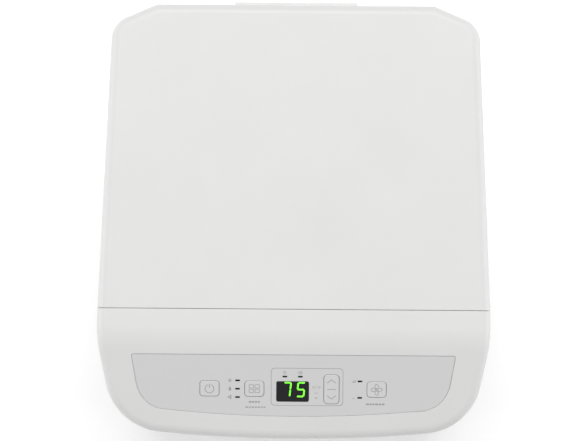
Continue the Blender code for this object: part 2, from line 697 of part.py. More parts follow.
def make_controls():
    slope = slope_place()
    overlay = prism("control_overlay", overlay_outline(), -OVERLAY_THICK, 0, "overlay_grey", slope)
    cut(overlay, *key_hole_cutters(WALL, WALL))
    cut(overlay, prism("window_hole", window_outline(GAP), -WALL, WALL, place=slope))
    prism("display_window", window_outline(), -OVERLAY_THICK, -GAP / 3, "window_dark", slope)

    under_wall = -WALL - GAP
    flange_low = under_wall - KEY_FLANGE
    stem_low = flange_low - STEM_LENGTH
    stem = rounded_box(STEM_SIZE / 2, STEM_SIZE / 2, STEM_SIZE / 4)
    for name, (x, cap) in key_outlines().items():
        _, flange = key_outlines(KEY_LIP)[name]
        drop = ROCKER_DROP if name == "temp_rocker_key" else 0
        levels = [
            (stem, stem_low),
            (stem, flange_low - drop),
            (flange, flange_low - drop),
            (flange, under_wall - drop),
            (cap, under_wall - drop),
            (cap, 0),
        ]
        rings = [[(*point, z) for point in outline] for outline, z in levels]
        key = stack(name, rings, "overlay_grey", slope @ Matrix.Translation((x, 0, 0)))
        shade_round(key)

    board_top = stem_low - KEY_TRAVEL - GAP
    half_v = BOARD_HIGH / 2
    low, high = (-BOARD_HALF, -half_v, board_top - BOARD_THICK), (BOARD_HALF, half_v, board_top)
    board = block("display_board", low, high, "board_green", slope)
    digits = rounded_box(DIGIT_BLOCK_WIDE / 2, DIGIT_BLOCK_HIGH / 2, GAP)
    module = moved(digits, WINDOW_X, WINDOW_V)
    join(board, prism("digit_module", module, board_top - BOARD_THICK / 2, -OVERLAY_THICK - GAP, place=slope))


# ---------------------------------------------------------------- air outlet


def make_outlet_frame():
    """A short rectangular duct behind the front opening, its mouth following the bowed wall."""
    mouth = FRONT_Y - CUT_OVERRUN
    rings = [[(x, mouth, OUTLET_Z + z) for x, z in duct_outline(0)]]
    rings.append([(x, FRONT_Y + OUTLET_DEEP, OUTLET_Z + z) for x, z in duct_outline(0)])
    duct = stack("outlet_frame", rings, "inner_grey")
    rear = FRONT_Y + OUTLET_DEEP
    ends = (mouth - CUT_OVERRUN, rear + CUT_OVERRUN)
    air = [[(x, y, OUTLET_Z + z) for x, z in duct_outline(DUCT_WALL)] for y in ends]
    cut(duct, stack("air_way", air))
    limit = casing_body("front_limit", casing_rows(None, SEAM_Y, 0), DUCT_RECESS, SKIRT_Z)
    combine(duct, limit, "INTERSECT")
    bore = PIN_RADIUS + GAP
    reach = OUTLET_HALF + CUT_OVERRUN
    for z in blade_heights():
        cut(duct, bore_cutter("blade_bore", bore, 0, FRONT_Y + BLADE_BACK, z, "+X", reach, 8))
    for x in vane_places():
        cut(duct, bore_cutter("vane_bore", bore, x, FRONT_Y + VANE_BACK, OUTLET_Z, "+Z", OUTLET_HIGH, 8))
    return duct


def blade_heights():
    pitch = (OUTLET_HIGH - 2 * DUCT_WALL) / BLADES
    return [OUTLET_Z + pitch * (i - (BLADES - 1) / 2) for i in range(BLADES)]


def vane_places():
    return [VANE_PITCH * (i - (VANES - 1) / 2) for i in range(VANES)]


def flap(name, half_long, chord, thick, ear_x):
    """A blade that turns about local X, with end pins, and a crank pin on an ear behind its trailing edge."""
    half, edge = thick / 2, thick / 2
    section = [
        (-chord / 2, -half / 3),
        (-chord / 2 + edge, -half),
        (chord / 2 - edge, -half),
        (chord / 2, -half / 3),
        (chord / 2, half / 3),
        (chord / 2 - edge, half),
        (-chord / 2 + edge, half),
        (-chord / 2, half / 3),
    ]
    piece = stack(name, [[(x, y, z) for y, z in section] for x in (-half_long, half_long)], "inner_grey")
    reach = half_long + END_PLAY + PIN_REACH
    join(piece, turned("pin", [(PIN_RADIUS * 0.9, -reach), (PIN_RADIUS * 0.9, reach)], 8, place=facing("+X")))
    crank_y = chord / 2 + CRANK_BEYOND
    ear_low = (ear_x - EAR_THICK / 2, chord / 2 - edge * 2, -half * 0.8)
    ear_high = (ear_x + EAR_THICK / 2, crank_y + CRANK_RADIUS + EAR_LIP, half * 0.8)
    join(piece, block("ear", ear_low, ear_high))
    crank = [(CRANK_RADIUS * 0.8, 0), (CRANK_RADIUS * 0.8, CRANK_REACH)]
    join(piece, turned("crank", crank, 8, place=at(ear_x, crank_y, 0, "+X")))
    return piece


def repeat_piece(first, names_and_places):
    """The first piece again at each place, each copy its own object on the same mesh."""
    for name, place in names_and_places:
        add_object(name, first.data, place=place)


def flap_link(name, ear_x, crank_y, offsets, place):
    """A bar with a hole over each flap's crank pin. Its origin is on the first pin."""
    low, high = min(offsets) - LINK_HALF, max(offsets) + LINK_HALF
    near = ear_x + EAR_THICK / 2 + GAP
    lower = (near, -LINK_HALF, low)
    bar = block(name, lower, (near + LINK_THICK, LINK_HALF, high), "inner_grey")
    for offset in offsets:
        cut(bar, bore_cutter("pin_hole", CRANK_RADIUS * 0.8 + GAP, near, 0, offset, "+X", LINK_THICK * 3, 8))
    bar.matrix_world = place @ Matrix.Translation((0, crank_y, 0))
    return bar


def make_louvres():
    half_long = OUTLET_HALF - DUCT_WALL - END_PLAY
    ear_x = half_long * 2 * BLADE_EAR_SHARE
    places = [at(0, FRONT_Y + BLADE_BACK, z) for z in blade_heights()]
    first = flap("louvre_blade_1", half_long, BLADE_CHORD, BLADE_THICK, ear_x)
    first.matrix_world = places[0]
    repeat_piece(first, [(f"louvre_blade_{i + 1}", place) for i, place in enumerate(places) if i])
    offsets = [z - blade_heights()[0] for z in blade_heights()]
    flap_link("louvre_link", ear_x, BLADE_CHORD / 2 + CRANK_BEYOND, offsets, places[0])

    face = OUTLET_HALF + GAP
    end = face + LOUVRE_MOTOR_LONG
    motor = [
        (LOUVRE_MOTOR_RADIUS, face),
        (LOUVRE_MOTOR_RADIUS, end),
        (LOUVRE_MOTOR_RADIUS / 2, end),
        (LOUVRE_MOTOR_RADIUS / 2, end + DUCT_WALL),
    ]
    place = at(0, FRONT_Y + BLADE_BACK, blade_heights()[0], "+X")
    turned("louvre_motor", motor, 12, "motor_steel", place)


def make_vanes():
    """Vanes turn about Z: local X points down, so that local Y still points to the rear."""
    half_long = OUTLET_HIGH / 2 - DUCT_WALL - END_PLAY
    ear_x = half_long * 2 * VANE_EAR_SHARE
    upright = Matrix.Rotation(math.pi / 2, 4, "Y")
    places = [Matrix.Translation((x, FRONT_Y + VANE_BACK, OUTLET_Z)) @ upright for x in vane_places()]
    first = flap("vane_1", half_long, VANE_CHORD, VANE_THICK, ear_x)
    first.matrix_world = places[0]
    repeat_piece(first, [(f"vane_{i + 1}", place) for i, place in enumerate(places) if i])
    offsets = [x - vane_places()[0] for x in vane_places()]
    flap_link("vane_link", ear_x, VANE_CHORD / 2 + CRANK_BEYOND, offsets, places[0])


# ---------------------------------------------------------------- rear panels and ports


def filter_panel(name, mesh_name, half, low_z, high, slats, tab_half, tab_proud):
    """A slatted panel on hinge pins along its lower edge, with a pull tab and a filter mesh in its back.

    Its origin is on the hinge axis. Rows of slats fill the face; the rim is the full thickness.
    """
    axis_z = low_z + PANEL_AXIS_UP
    half_wide = half - PANEL_PLAY
    bottom, top = -PANEL_AXIS_UP + PANEL_PLAY, high - PANEL_AXIS_UP - PANEL_PLAY
    open_low, open_high = bottom + PANEL_RIM, top - PANEL_RIM
    pitch = (open_high - open_low + PANEL_SLAT) / (slats + 1)
    heights = [bottom, bottom + PANEL_RIM / 2, open_low]
    for i in range(slats):
        slat_top = open_low + pitch * (i + 1)
        heights += [slat_top - PANEL_SLAT, slat_top]
    heights += [open_high, top]
    half_open = half_wide - PANEL_RIM
    widths = [-half_wide, -half_open, -PANEL_SLAT / 2, PANEL_SLAT / 2, half_open, half_wide]
    outer = PANEL_AXIS_IN
    depths = [outer - PANEL_THICK, outer - PANEL_FACE, outer]
    last_row, last_column = len(heights) - 2, len(widths) - 2

    def corner(i, j, k):
        lifted = PANEL_FACE if j == 0 and k == 2 else 0
        return (widths[i], depths[k], heights[j] + lifted)

    def filled(i, j, k):
        in_rim = i in (0, last_column) or j in (0, 1, last_row)
        if k == 0 or in_rim:
            return in_rim
        return i == 2 or j % 2 == 1

    place = Matrix.Translation((0, REAR_Y - PANEL_AXIS_IN, axis_z))
    panel = cell_solid(name, (5, last_row + 1, 2), corner, filled, "shell_white", place)
    tab_low = top - TAB_HIGH - TAB_DOWN
    foot = outer - PANEL_FACE / 2
    tab_rings = []
    for z in (tab_low, tab_low + TAB_HIGH):
        tab_rings.append(
            [
                (-tab_half, foot, z),
                (tab_half, foot, z),
                (tab_half - TAB_SLANT, outer + tab_proud, z),
                (-tab_half + TAB_SLANT, outer + tab_proud, z),
            ]
        )
    join(panel, stack("tab", tab_rings, place=place))
    for side in (-1, 1):
        pin = [(PANEL_PIN_RADIUS, half_wide - PANEL_RIM / 2), (PANEL_PIN_RADIUS, half_wide + PANEL_PIN_REACH)]
        turn = facing("+X" if side > 0 else "-X")
        join(panel, turned("pin", pin, 8, place=place @ turn))

    rim_inner = half_open - GAP
    mesh_back = outer - PANEL_FACE - GAP
    low = (-rim_inner, mesh_back - FILTER_THICK, open_low + GAP)
    block(mesh_name, low, (rim_inner, mesh_back, open_high - GAP), "filter_grey", place)


def make_rear_panels():
    filter_panel(
        "upper_filter_frame",
        "upper_filter_mesh",
        UPPER_WINDOW_HALF,
        UPPER_WINDOW_Z,
        UPPER_WINDOW_HIGH,
        UPPER_SLATS,
        TAB_HALF,
        TAB_PROUD,
    )
    filter_panel(
        "lower_filter_door",
        "lower_filter_mesh",
        LOWER_WINDOW_HALF,
        LOWER_WINDOW_Z,
        LOWER_WINDOW_HIGH,
        LOWER_SLATS,
        LOWER_TAB_HALF,
        LOWER_TAB_PROUD,
    )


def make_exhaust_collar():
    """A flanged spigot for the hose adaptor, with a guard of crossed bars in its bore."""
    inner = COLLAR_RADIUS - COLLAR_WALL
    profile = [
        (inner, -COLLAR_INSIDE),
        (COLLAR_RADIUS, -COLLAR_INSIDE),
        (COLLAR_RADIUS, GAP),
        (COLLAR_FLANGE, GAP),
        (COLLAR_FLANGE, GAP + COLLAR_FLANGE_THICK),
        (COLLAR_RADIUS, GAP + COLLAR_FLANGE_THICK),
        (COLLAR_RADIUS, COLLAR_REACH),
        (inner, COLLAR_REACH),
    ]
    place = at(0, REAR_Y, COLLAR_Z, "+Y")
    collar = ring_body("exhaust_collar", profile, COLLAR_SIDES, "shell_white", place)
    half_bar, reach = GUARD_BAR / 2, inner + COLLAR_WALL / 2
    low, high = GUARD_IN - COLLAR_INSIDE, GUARD_IN - COLLAR_INSIDE + GUARD_BAR
    join(collar, block("bar", (-reach, -half_bar, low), (reach, half_bar, high), place=place))
    join(collar, block("bar", (-half_bar, -reach, low), (half_bar, reach, high), place=place))
    near, far = inner / 2 - half_bar, inner / 2 + half_bar
    ring = [(near, low + GAP), (far, low + GAP), (far, high - GAP), (near, high - GAP)]
    join(collar, ring_body("ring", ring, 14, place=place))


def make_ports():
    """Cord gland and two drain stoppers, pushed into the back of the casing."""
    stopper = [
        (PORT_SHAFT * 0.8, -PORT_DEEP),
        (PORT_SHAFT, -PORT_DEEP + PORT_EDGE),
        (PORT_SHAFT, GAP),
        (PORT_HEAD, GAP),
        (PORT_HEAD, PORT_HEAD_THICK - PORT_EDGE),
        (PORT_HEAD - PORT_EDGE, PORT_HEAD_THICK),
    ]
    turned("drain_cap", stopper, 12, "inner_grey", at(0, REAR_Y, LOW_PORT_Z, "+Y"))
    turned("drain_plug", stopper, 12, "inner_grey", at(PORT_X, REAR_Y, PORT_Z, "+Y"))
    gland = [
        (GLAND_BORE, -PORT_DEEP),
        (PORT_SHAFT, -PORT_DEEP),
        (PORT_SHAFT, GAP),
        (PORT_HEAD, GAP),
        (PORT_HEAD, GAP + GLAND_FLANGE),
        (PORT_SHAFT, GAP + GLAND_FLANGE + PORT_EDGE),
        (PORT_SHAFT * 0.8, GAP + GLAND_LONG),
        (GLAND_BORE, GAP + GLAND_LONG),
    ]
    ring_body("cord_gland", gland, 12, "rubber_black", at(-PORT_X, REAR_Y, PORT_Z, "+Y"))


# ---------------------------------------------------------------- works


def coil_y():
    """Middle of both coils, front to rear."""
    return REAR_Y - COIL_IN - COIL_THICK / 2


def make_coil(name, floor_z, high):
    """A fin block between two end plates that stand a little proud of it."""
    x, lip, half = COIL_HALF, COIL_PLATE_LIP, COIL_THICK / 2
    near = x - COIL_PLATE
    outline = [
        (-x, -half),
        (-near, -half),
        (-near, -half + lip),
        (near, -half + lip),
        (near, -half),
        (x, -half),
        (x, half),
        (near, half),
        (near, half - lip),
        (-near, half - lip),
        (-near, half),
        (-x, half),
    ]
    prism(name, outline, floor_z + GAP, floor_z + GAP + high, "coil_aluminium", at(0, coil_y(), 0))


def scroll_radius(turn):
    return SCROLL_NEAR + (SCROLL_FAR - SCROLL_NEAR) * (turn - SCROLL_CUTOFF) / (math.tau - SCROLL_CUTOFF)


def scroll_outline(inward, throat):
    """A spiral that opens from the cut-off round to the throat, which rises straight to its mouth."""
    throat_left = SCROLL_NEAR * math.cos(SCROLL_CUTOFF) + inward
    start = math.acos(throat_left / (SCROLL_NEAR - inward))
    points = [Vector((SCROLL_FAR - inward, throat)), Vector((throat_left, throat))]
    for step in range(SCROLL_STEPS + 1):
        turn = start + (math.tau - start) * step / SCROLL_STEPS
        radius = scroll_radius(max(turn, SCROLL_CUTOFF)) - inward
        points.append(Vector((radius * math.cos(turn), radius * math.sin(turn))))
    return points


def scroll_ends():
    """Front and rear faces of both scrolls."""
    far_y = coil_y() - COIL_THICK / 2 - SCROLL_FROM_COIL
    return far_y - SCROLL_DEEP, far_y


def blower_z(floor_z):
    """Height of a blower's axis over the floor that its scroll stands on."""
    return floor_z + GAP + scroll_radius(math.pi * 3 / 2)


def make_blower(label, floor_z, throat):
    """A scroll housing open at its throat, a caged wheel on its shaft, and the motor on the front plate."""
    near_y, far_y = scroll_ends()
    centre_z = blower_z(floor_z)

    def ring(outline, y):
        return [(p.x, y, centre_z + p.y) for p in outline]

    outer = scroll_outline(0, throat)
    scroll = stack(f"{label}_scroll", [ring(outer, near_y), ring(outer, far_y)], "inner_grey")
    inner = scroll_outline(SCROLL_WALL, throat + CUT_OVERRUN)
    room = [ring(inner, near_y + SCROLL_WALL), ring(inner, far_y - SCROLL_WALL)]
    cut(scroll, stack("air_room", room))
    cut(scroll, bore_cutter("inlet", INLET_RADIUS, 0, far_y, centre_z, "+Y", SCROLL_WALL * 2, 24))
    shaft_hole = SHAFT_RADIUS + SHAFT_PLAY * 3
    cut(scroll, bore_cutter("shaft_hole", shaft_hole, 0, near_y, centre_z, "+Y", SCROLL_WALL * 2, 12))

    make_wheel(f"{label}_fan_wheel", at(0, near_y + SCROLL_WALL + WHEEL_PLAY, centre_z, "+Y"))
    bore = SHAFT_RADIUS + SHAFT_PLAY
    motor = [
        (bore, -SHAFT_REACH),
        (bore, -GAP),
        (MOTOR_RADIUS * 0.4, -GAP),
        (MOTOR_RADIUS * 0.4, -MOTOR_BOSS / 2),
        (MOTOR_RADIUS, -MOTOR_BOSS),
        (MOTOR_RADIUS, -MOTOR_LONG + MOTOR_EDGE),
        (MOTOR_RADIUS - MOTOR_EDGE, -MOTOR_LONG),
    ]
    turned(f"{label}_fan_motor", motor, 16, "motor_steel", at(0, near_y, centre_z, "+Y"))


def make_wheel(name, place):
    """A caged wheel: hub and back plate, blades round the rim, a ring over their far ends, and its shaft."""
    slices = WHEEL_BLADES * 2
    radii = [SHAFT_RADIUS * 0.9, WHEEL_HUB, WHEEL_RADIUS - WHEEL_BLADE, WHEEL_RADIUS]
    depths = [0, WHEEL_PLATE, WHEEL_HUB * 1.5, WHEEL_DEEP - WHEEL_RING, WHEEL_DEEP]

    def corner(i, j, k):
        turn = math.tau * (i + 0.25 * (i % 2)) / slices
        return (radii[j] * math.cos(turn), radii[j] * math.sin(turn), depths[k])

    def filled(i, j, k):
        plate = k == 0
        hub = j == 0 and k <= 1
        cage = j == 2 and (i % 2 == 1 or k == 3)
        return plate or hub or cage

    wheel = cell_solid(name, (slices, 3, 4), corner, filled, "inner_grey", place, closed_round=True)
    back = WHEEL_PLAY + SCROLL_WALL + SHAFT_REACH - GAP * 2
    shaft = [(SHAFT_RADIUS, -back), (SHAFT_RADIUS, WHEEL_HUB * 1.5 + SHAFT_END)]
    join(wheel, turned("shaft", shaft, 12, place=place))


def offset_outline(points, distances):
    """A closed anticlockwise outline with each edge moved in by its own distance."""
    count = len(points)
    lines = []
    for i, distance in enumerate(distances):
        along = (points[(i + 1) % count] - points[i]).normalized()
        lines.append((points[i] + Vector((-along.y, along.x)) * distance, along))
    return [meeting_point(*lines[i - 1], *lines[i]) for i in range(count)]


def make_air_duct():
    """A folded sheet duct from the mouth of the upper scroll forward and down to the outlet frame."""
    mouth_y = FRONT_Y + OUTLET_DEEP + GAP
    near_y, far_y = scroll_ends()
    throat_top = blower_z(DECK_TOP) + UPPER_THROAT + GAP
    floor_z = blower_z(DECK_TOP) + MOTOR_RADIUS + AIR_DUCT_CLEAR
    ceiling = TOP - AIR_DUCT_CLEAR
    motor_front = near_y - MOTOR_LONG - AIR_DUCT_CLEAR
    side = [
        (mouth_y, OUTLET_TOP_Z - OUTLET_HIGH),
        (mouth_y + AIR_DUCT_LEAD, OUTLET_TOP_Z - OUTLET_HIGH),
        (motor_front, floor_z),
        (near_y - GAP, floor_z),
        (near_y - GAP, throat_top),
        (far_y, throat_top),
        (far_y, ceiling),
        (motor_front - AIR_DUCT_LEAD, ceiling),
        (mouth_y + AIR_DUCT_LEAD, OUTLET_TOP_Z),
        (mouth_y, OUTLET_TOP_Z),
    ]
    side = [Vector(point) for point in side]
    sheet = AIR_DUCT_SHEET
    room = offset_outline(side, [sheet] * (len(side) - 1) + [-sheet * 4])
    half = OUTLET_HALF
    duct = stack("air_duct", [[(x, *point) for point in side] for x in (-half, half)], "inner_grey")
    cut(duct, stack("air_room", [[(x, *point) for point in room] for x in (sheet - half, half - sheet)]))
    wall = SCROLL_WALL
    throat_left = SCROLL_NEAR * math.cos(SCROLL_CUTOFF)
    low = (throat_left + wall, near_y + wall, throat_top - sheet)
    cut(duct, block("throat_hole", low, (SCROLL_FAR - wall, far_y - wall, throat_top + sheet * 2)))


def dome(radius, low, high, edge):
    """(radius, height) pairs of a can with rounded ends."""
    steps = (0, math.radians(45), math.radians(90))
    lower = [(radius - edge * (1 - math.sin(a)), low + edge * (1 - math.cos(a))) for a in steps]
    upper = [(radius - edge * (1 - math.cos(a)), high - edge * (1 - math.sin(a))) for a in steps]
    return lower + upper


def make_compressor():
    """A welded can on a foot plate, with its accumulator strapped to its side and a stub on its top."""
    bottom = FLOOR_TOP + FOOT_UP
    top = bottom + COMPRESSOR_HIGH
    place = at(COMPRESSOR_X, COMPRESSOR_Y, 0)
    can = dome(COMPRESSOR_RADIUS, bottom, top, COMPRESSOR_EDGE)
    can = turned("compressor", can, 16, "compressor_black", place)
    corners = [Vector((FOOT_RADIUS * math.cos(a), FOOT_RADIUS * math.sin(a))) for a in foot_turns()]
    foot = [point for point, _ in rounded(corners, [FOOT_CORNER] * 3)]
    join(can, prism("foot", foot, bottom - FOOT_THICK / 2, bottom + FOOT_THICK, place=place))
    for a in foot_turns():
        out = GROMMET_OUT * FOOT_RADIUS
        x, y = out * math.cos(a), out * math.sin(a)
        grommet = [(GROMMET_RADIUS, FLOOR_TOP + GAP), (GROMMET_RADIUS, bottom)]
        join(can, turned("grommet", grommet, 8, place=place @ Matrix.Translation((x, y, 0))))
    stub = [(STUB_RADIUS, top - STUB_LONG), (STUB_RADIUS, top + STUB_LONG)]
    join(can, turned("stub", stub, 10, place=place))
    low, high = bottom + ACCUMULATOR_UP, accumulator_top()
    can_place = at(-LINE_X, ACCUMULATOR_Y, 0)
    accumulator = dome(ACCUMULATOR_RADIUS, low, high, ACCUMULATOR_EDGE)
    join(can, turned("accumulator", accumulator, 12, place=can_place))
    toward = Vector((-LINE_X - COMPRESSOR_X, ACCUMULATOR_Y - COMPRESSOR_Y))
    strap_turn = Matrix.Rotation(math.atan2(toward.y, toward.x), 4, "Z")
    middle = (low + high) / 2
    strap_low = (0, -STRAP_HALF_WIDE, middle - STRAP_HALF_HIGH)
    strap = block("strap", strap_low, (toward.length, STRAP_HALF_WIDE, middle + STRAP_HALF_HIGH))
    strap.matrix_world = place @ strap_turn
    join(can, strap)
    shade_round(can)


def foot_turns():
    return [math.radians(angle) for angle in (30, 150, 270)]


def accumulator_top():
    return FLOOR_TOP + FOOT_UP + COMPRESSOR_HIGH * 0.75


def pipe(name, corners, radius, bend, material):
    """A pipe through straight runs, each corner bent to the same radius."""
    points = [corners[0]]
    for before, corner, after in zip(corners, corners[1:], corners[2:]):
        arriving, leaving = (corner - before).normalized(), (after - corner).normalized()
        turn = arriving.angle(leaving)
        reach = bend * math.tan(turn / 2)
        centre = corner + (leaving - arriving).normalized() * bend / math.cos(turn / 2)
        start = corner - arriving * reach - centre
        axis = arriving.cross(leaving)
        for step in range(4):
            points.append(centre + Matrix.Rotation(turn * step / 3, 3, axis) @ start)
    points.append(corners[-1])
    curve = bpy.data.curves.new(name, "CURVE")
    curve.dimensions = "3D"
    curve.bevel_depth = radius
    curve.bevel_resolution = 2
    curve.use_fill_caps = True
    spline = curve.splines.new("POLY")
    spline.points.add(len(points) - 1)
    for spline_point, point in zip(spline.points, points):
        spline_point.co = (*point, 1)
    return add_object(name, curve, material)


def make_lines():
    """Suction line from the evaporator to the accumulator, discharge line from the can to the condenser."""
    run_z = DECK_Z - LINE_BELOW_DECK
    coil_left = -COIL_HALF - GAP
    start_z = DECK_TOP + SUCTION_UP
    suction = [
        Vector((coil_left, coil_y(), start_z)),
        Vector((-LINE_X, coil_y(), start_z)),
        Vector((-LINE_X, coil_y(), run_z)),
        Vector((-LINE_X, ACCUMULATOR_Y, run_z)),
        Vector((-LINE_X, ACCUMULATOR_Y, accumulator_top() + GAP)),
    ]
    pipe("suction_line", suction, LINE_RADIUS, LINE_BEND, "pipe_copper")
    upper_z = run_z + DISCHARGE_UP
    drop_x = -COIL_HALF + DISCHARGE_IN
    coil_top = FLOOR_TOP + GAP + CONDENSER_HIGH
    can_top = FLOOR_TOP + FOOT_UP + COMPRESSOR_HIGH + STUB_LONG
    discharge = [
        Vector((COMPRESSOR_X, COMPRESSOR_Y, can_top + GAP)),
        Vector((COMPRESSOR_X, COMPRESSOR_Y, upper_z)),
        Vector((drop_x, COMPRESSOR_Y + DISCHARGE_BACK, upper_z)),
        Vector((drop_x, coil_y(), upper_z)),
        Vector((drop_x, coil_y(), coil_top + GAP)),
    ]
    pipe("discharge_line", discharge, LINE_RADIUS, LINE_BEND, "pipe_copper")


def make_control_box():
    front = FRONT_Y + BOX_BACK
    outline = rounded_box(BOX_WIDE / 2, BOX_DEEP / 2, BOX_CORNER)
    lid = rounded_box(BOX_WIDE / 2, BOX_DEEP / 2, BOX_CORNER, BOX_LID_LIP)
    low = FLOOR_TOP + GAP
    lid_low, top = low + BOX_HIGH - BOX_LID, low + BOX_HIGH
    levels = [(outline, low), (outline, lid_low), (lid, lid_low), (lid, top)]
    rings = [[(*p, z) for p in shape] for shape, z in levels]
    stack("control_box", rings, "inner_grey", at(BOX_X + BOX_WIDE / 2, front + BOX_DEEP / 2, 0))


# ---------------------------------------------------------------- casters


def caster_places():
    ys = (FRONT_Y + CASTER_FRONT_BACK, REAR_Y - CASTER_REAR_IN)
    return [(x, y) for y in ys for x in (-CASTER_X, CASTER_X)]


CASTER_NAMES = ("front_left", "front_right", "rear_left", "rear_right")


def yoke_shape():
    """An inverted U over the wheel with a swivel hub and stem on top. The origin is on the swivel axis."""
    inner = ROLLER_WIDE / 2 + YOKE_PLAY
    outer = inner + YOKE_CHEEK
    under = ROLLER_RADIUS * 2 + YOKE_OVER_ROLLER
    over = under + YOKE_TOP
    foot = ROLLER_RADIUS - AXLE_RADIUS * 2
    section = [
        (-outer, foot),
        (-inner, foot),
        (-inner, under),
        (inner, under),
        (inner, foot),
        (outer, foot),
        (outer, over),
        (-outer, over),
    ]
    ends = (TRAIL - YOKE_HALF, TRAIL + YOKE_HALF)
    yoke = stack("yoke", [[(x, y, z) for x, z in section] for y in ends], "pan_grey")
    bridge_low = (-outer + GAP * 2, -SWIVEL_HUB * 0.6, under + GAP * 2)
    join(yoke, block("bridge", bridge_low, (outer - GAP * 2, TRAIL, over - GAP)))
    stem_top = SKIRT_Z + STEM_REACH - GAP * 3
    hub = [
        (SWIVEL_HUB, under + YOKE_TOP / 4),
        (SWIVEL_HUB, SKIRT_Z - GAP * 2),
        (STEM_RADIUS, SKIRT_Z - GAP * 2),
        (STEM_RADIUS, stem_top),
    ]
    join(yoke, turned("hub", hub, 12))
    axle_hole = AXLE_RADIUS + AXLE_PLAY
    cut(yoke, bore_cutter("axle_hole", axle_hole, 0, TRAIL, ROLLER_RADIUS, "+X", outer * 2, 12))
    mesh = yoke.data
    bpy.data.objects.remove(yoke)
    return mesh


def make_casters():
    yoke = yoke_shape()
    half, radius, edge = ROLLER_WIDE / 2, ROLLER_RADIUS, ROLLER_EDGE
    bore = AXLE_RADIUS + AXLE_PLAY
    tread = [
        (bore, -half),
        (radius - edge, -half),
        (radius, -half + edge),
        (radius, half - edge),
        (radius - edge, half),
        (bore, half),
    ]
    reach = half + YOKE_PLAY + YOKE_CHEEK
    head = AXLE_RADIUS + AXLE_LIP
    near, far = reach + GAP, reach + GAP + AXLE_HEAD
    axle = [(head, -far), (head, -near), (AXLE_RADIUS, -near), (AXLE_RADIUS, near), (head, near), (head, far)]
    wheel_data = axle_data = None
    for name, (x, y) in zip(CASTER_NAMES, caster_places()):
        add_object(f"{name}_caster_yoke", yoke, place=at(x, y, 0))
        place = at(x, y + TRAIL, ROLLER_RADIUS, "+X")
        if wheel_data:
            add_object(f"{name}_caster_wheel", wheel_data, place=place)
            add_object(f"{name}_caster_axle", axle_data, place=place)
            continue
        wheel_data = ring_body(f"{name}_caster_wheel", tread, 20, "rubber_black", place).data
        axle_data = turned(f"{name}_caster_axle", axle, 8, "motor_steel", place).data


def main():
    for old in list(bpy.data.objects):
        bpy.data.objects.remove(old)
    make_front_casing()
    make_rear_casing()
    make_base_pan()
    make_middle_deck()
    make_handle_cups()
    make_controls()
    make_outlet_frame()
    make_louvres()
    make_vanes()
    make_rear_panels()
    make_exhaust_collar()
    make_ports()
    make_coil("evaporator_coil", DECK_TOP, EVAPORATOR_HIGH)
    make_coil("condenser_coil", FLOOR_TOP, CONDENSER_HIGH)
    make_blower("evaporator", DECK_TOP, UPPER_THROAT)
    make_blower("condenser", FLOOR_TOP, LOWER_THROAT)
    make_air_duct()
    make_compressor()
    make_lines()
    make_control_box()
    make_casters()


main()
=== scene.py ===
"""The looks of a portable air conditioner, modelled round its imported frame.

Metres, +Z up, front towards -Y. Pieces are modelled from primitives as by hand, and each one rides on
the body of the frame piece that it stands for.
"""

import contextlib
import itertools
import json
import math

import bmesh
import bpy
from mathutils import Matrix, Vector


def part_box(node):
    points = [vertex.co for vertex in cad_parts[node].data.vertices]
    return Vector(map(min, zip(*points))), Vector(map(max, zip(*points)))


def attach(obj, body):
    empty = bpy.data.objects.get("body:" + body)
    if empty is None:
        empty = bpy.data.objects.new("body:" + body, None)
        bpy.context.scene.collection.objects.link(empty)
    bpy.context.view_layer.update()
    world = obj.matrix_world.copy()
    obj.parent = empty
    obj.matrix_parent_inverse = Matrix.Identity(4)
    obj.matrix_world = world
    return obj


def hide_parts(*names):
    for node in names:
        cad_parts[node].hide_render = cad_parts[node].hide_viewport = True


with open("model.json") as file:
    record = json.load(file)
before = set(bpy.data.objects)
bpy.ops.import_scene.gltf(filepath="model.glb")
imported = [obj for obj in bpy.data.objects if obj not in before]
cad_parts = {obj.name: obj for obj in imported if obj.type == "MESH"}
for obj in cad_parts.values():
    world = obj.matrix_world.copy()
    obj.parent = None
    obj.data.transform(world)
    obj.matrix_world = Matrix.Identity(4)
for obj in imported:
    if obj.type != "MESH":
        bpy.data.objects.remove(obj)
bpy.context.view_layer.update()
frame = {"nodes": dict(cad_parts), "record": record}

# Casing in plan
HALF_WIDTH, FRONT_Y, REAR_Y, HEIGHT, SKIRT_Z = 0.1810, -0.210, 0.188, 0.712, 0.050
WALL, GAP = 0.0026, 0.0003
BEND_Y, REAR_FLAT = FRONT_Y + 0.093, 0.1272
BOW_RADIUS, FRONT_CORNER, BEND_RADIUS, REAR_CORNER, REAR_BEND = 1.35, 0.056, 0.15, 0.022, 0.012
BOW_TURN, SIDE_SWEEP, REAR_SWEEP, REAR_BEVEL = map(math.radians, (4.9, 11.5, 2.5, 67))
EDGE_RADIUS = 0.008
SEAM_EDGE = 0.0006

# Control slope, laid out with X across and V up the slope from the key row
ROLL_START, ROLL_RADIUS, SLOPE = FRONT_Y + 0.102, 0.070, math.radians(17)
KEY_ROW_Y = FRONT_Y + 0.046
OVERLAY_HALF_TOP, OVERLAY_UP, OVERLAY_DOWN = 0.1483, 0.0324, 0.0262
OVERLAY_BOW, OVERLAY_CORNER, OVERLAY_SHARP, OVERLAY_THICK = 1.1, 0.031, 0.0015, 0.0012
OVERLAY_SIDE, OVERLAY_BOW_TURN = math.radians(9.5), math.radians(6.3)
KEY_SIZE, KEY_CORNER = (0.0174, 0.0146), 0.0028
ROCKER_SIZE, ROCKER_CORNER = (0.0138, 0.0278), 0.0035
POWER_X, MODE_X, ROCKER_X, FAN_X = -0.0767, -0.0356, 0.0351, 0.0765
WINDOW_PLACE, WINDOW_SIZE, WINDOW_CORNER = (-0.0005, -0.0024), (0.0297, 0.0194), 0.0018
KEY_PLAY = 0.0004
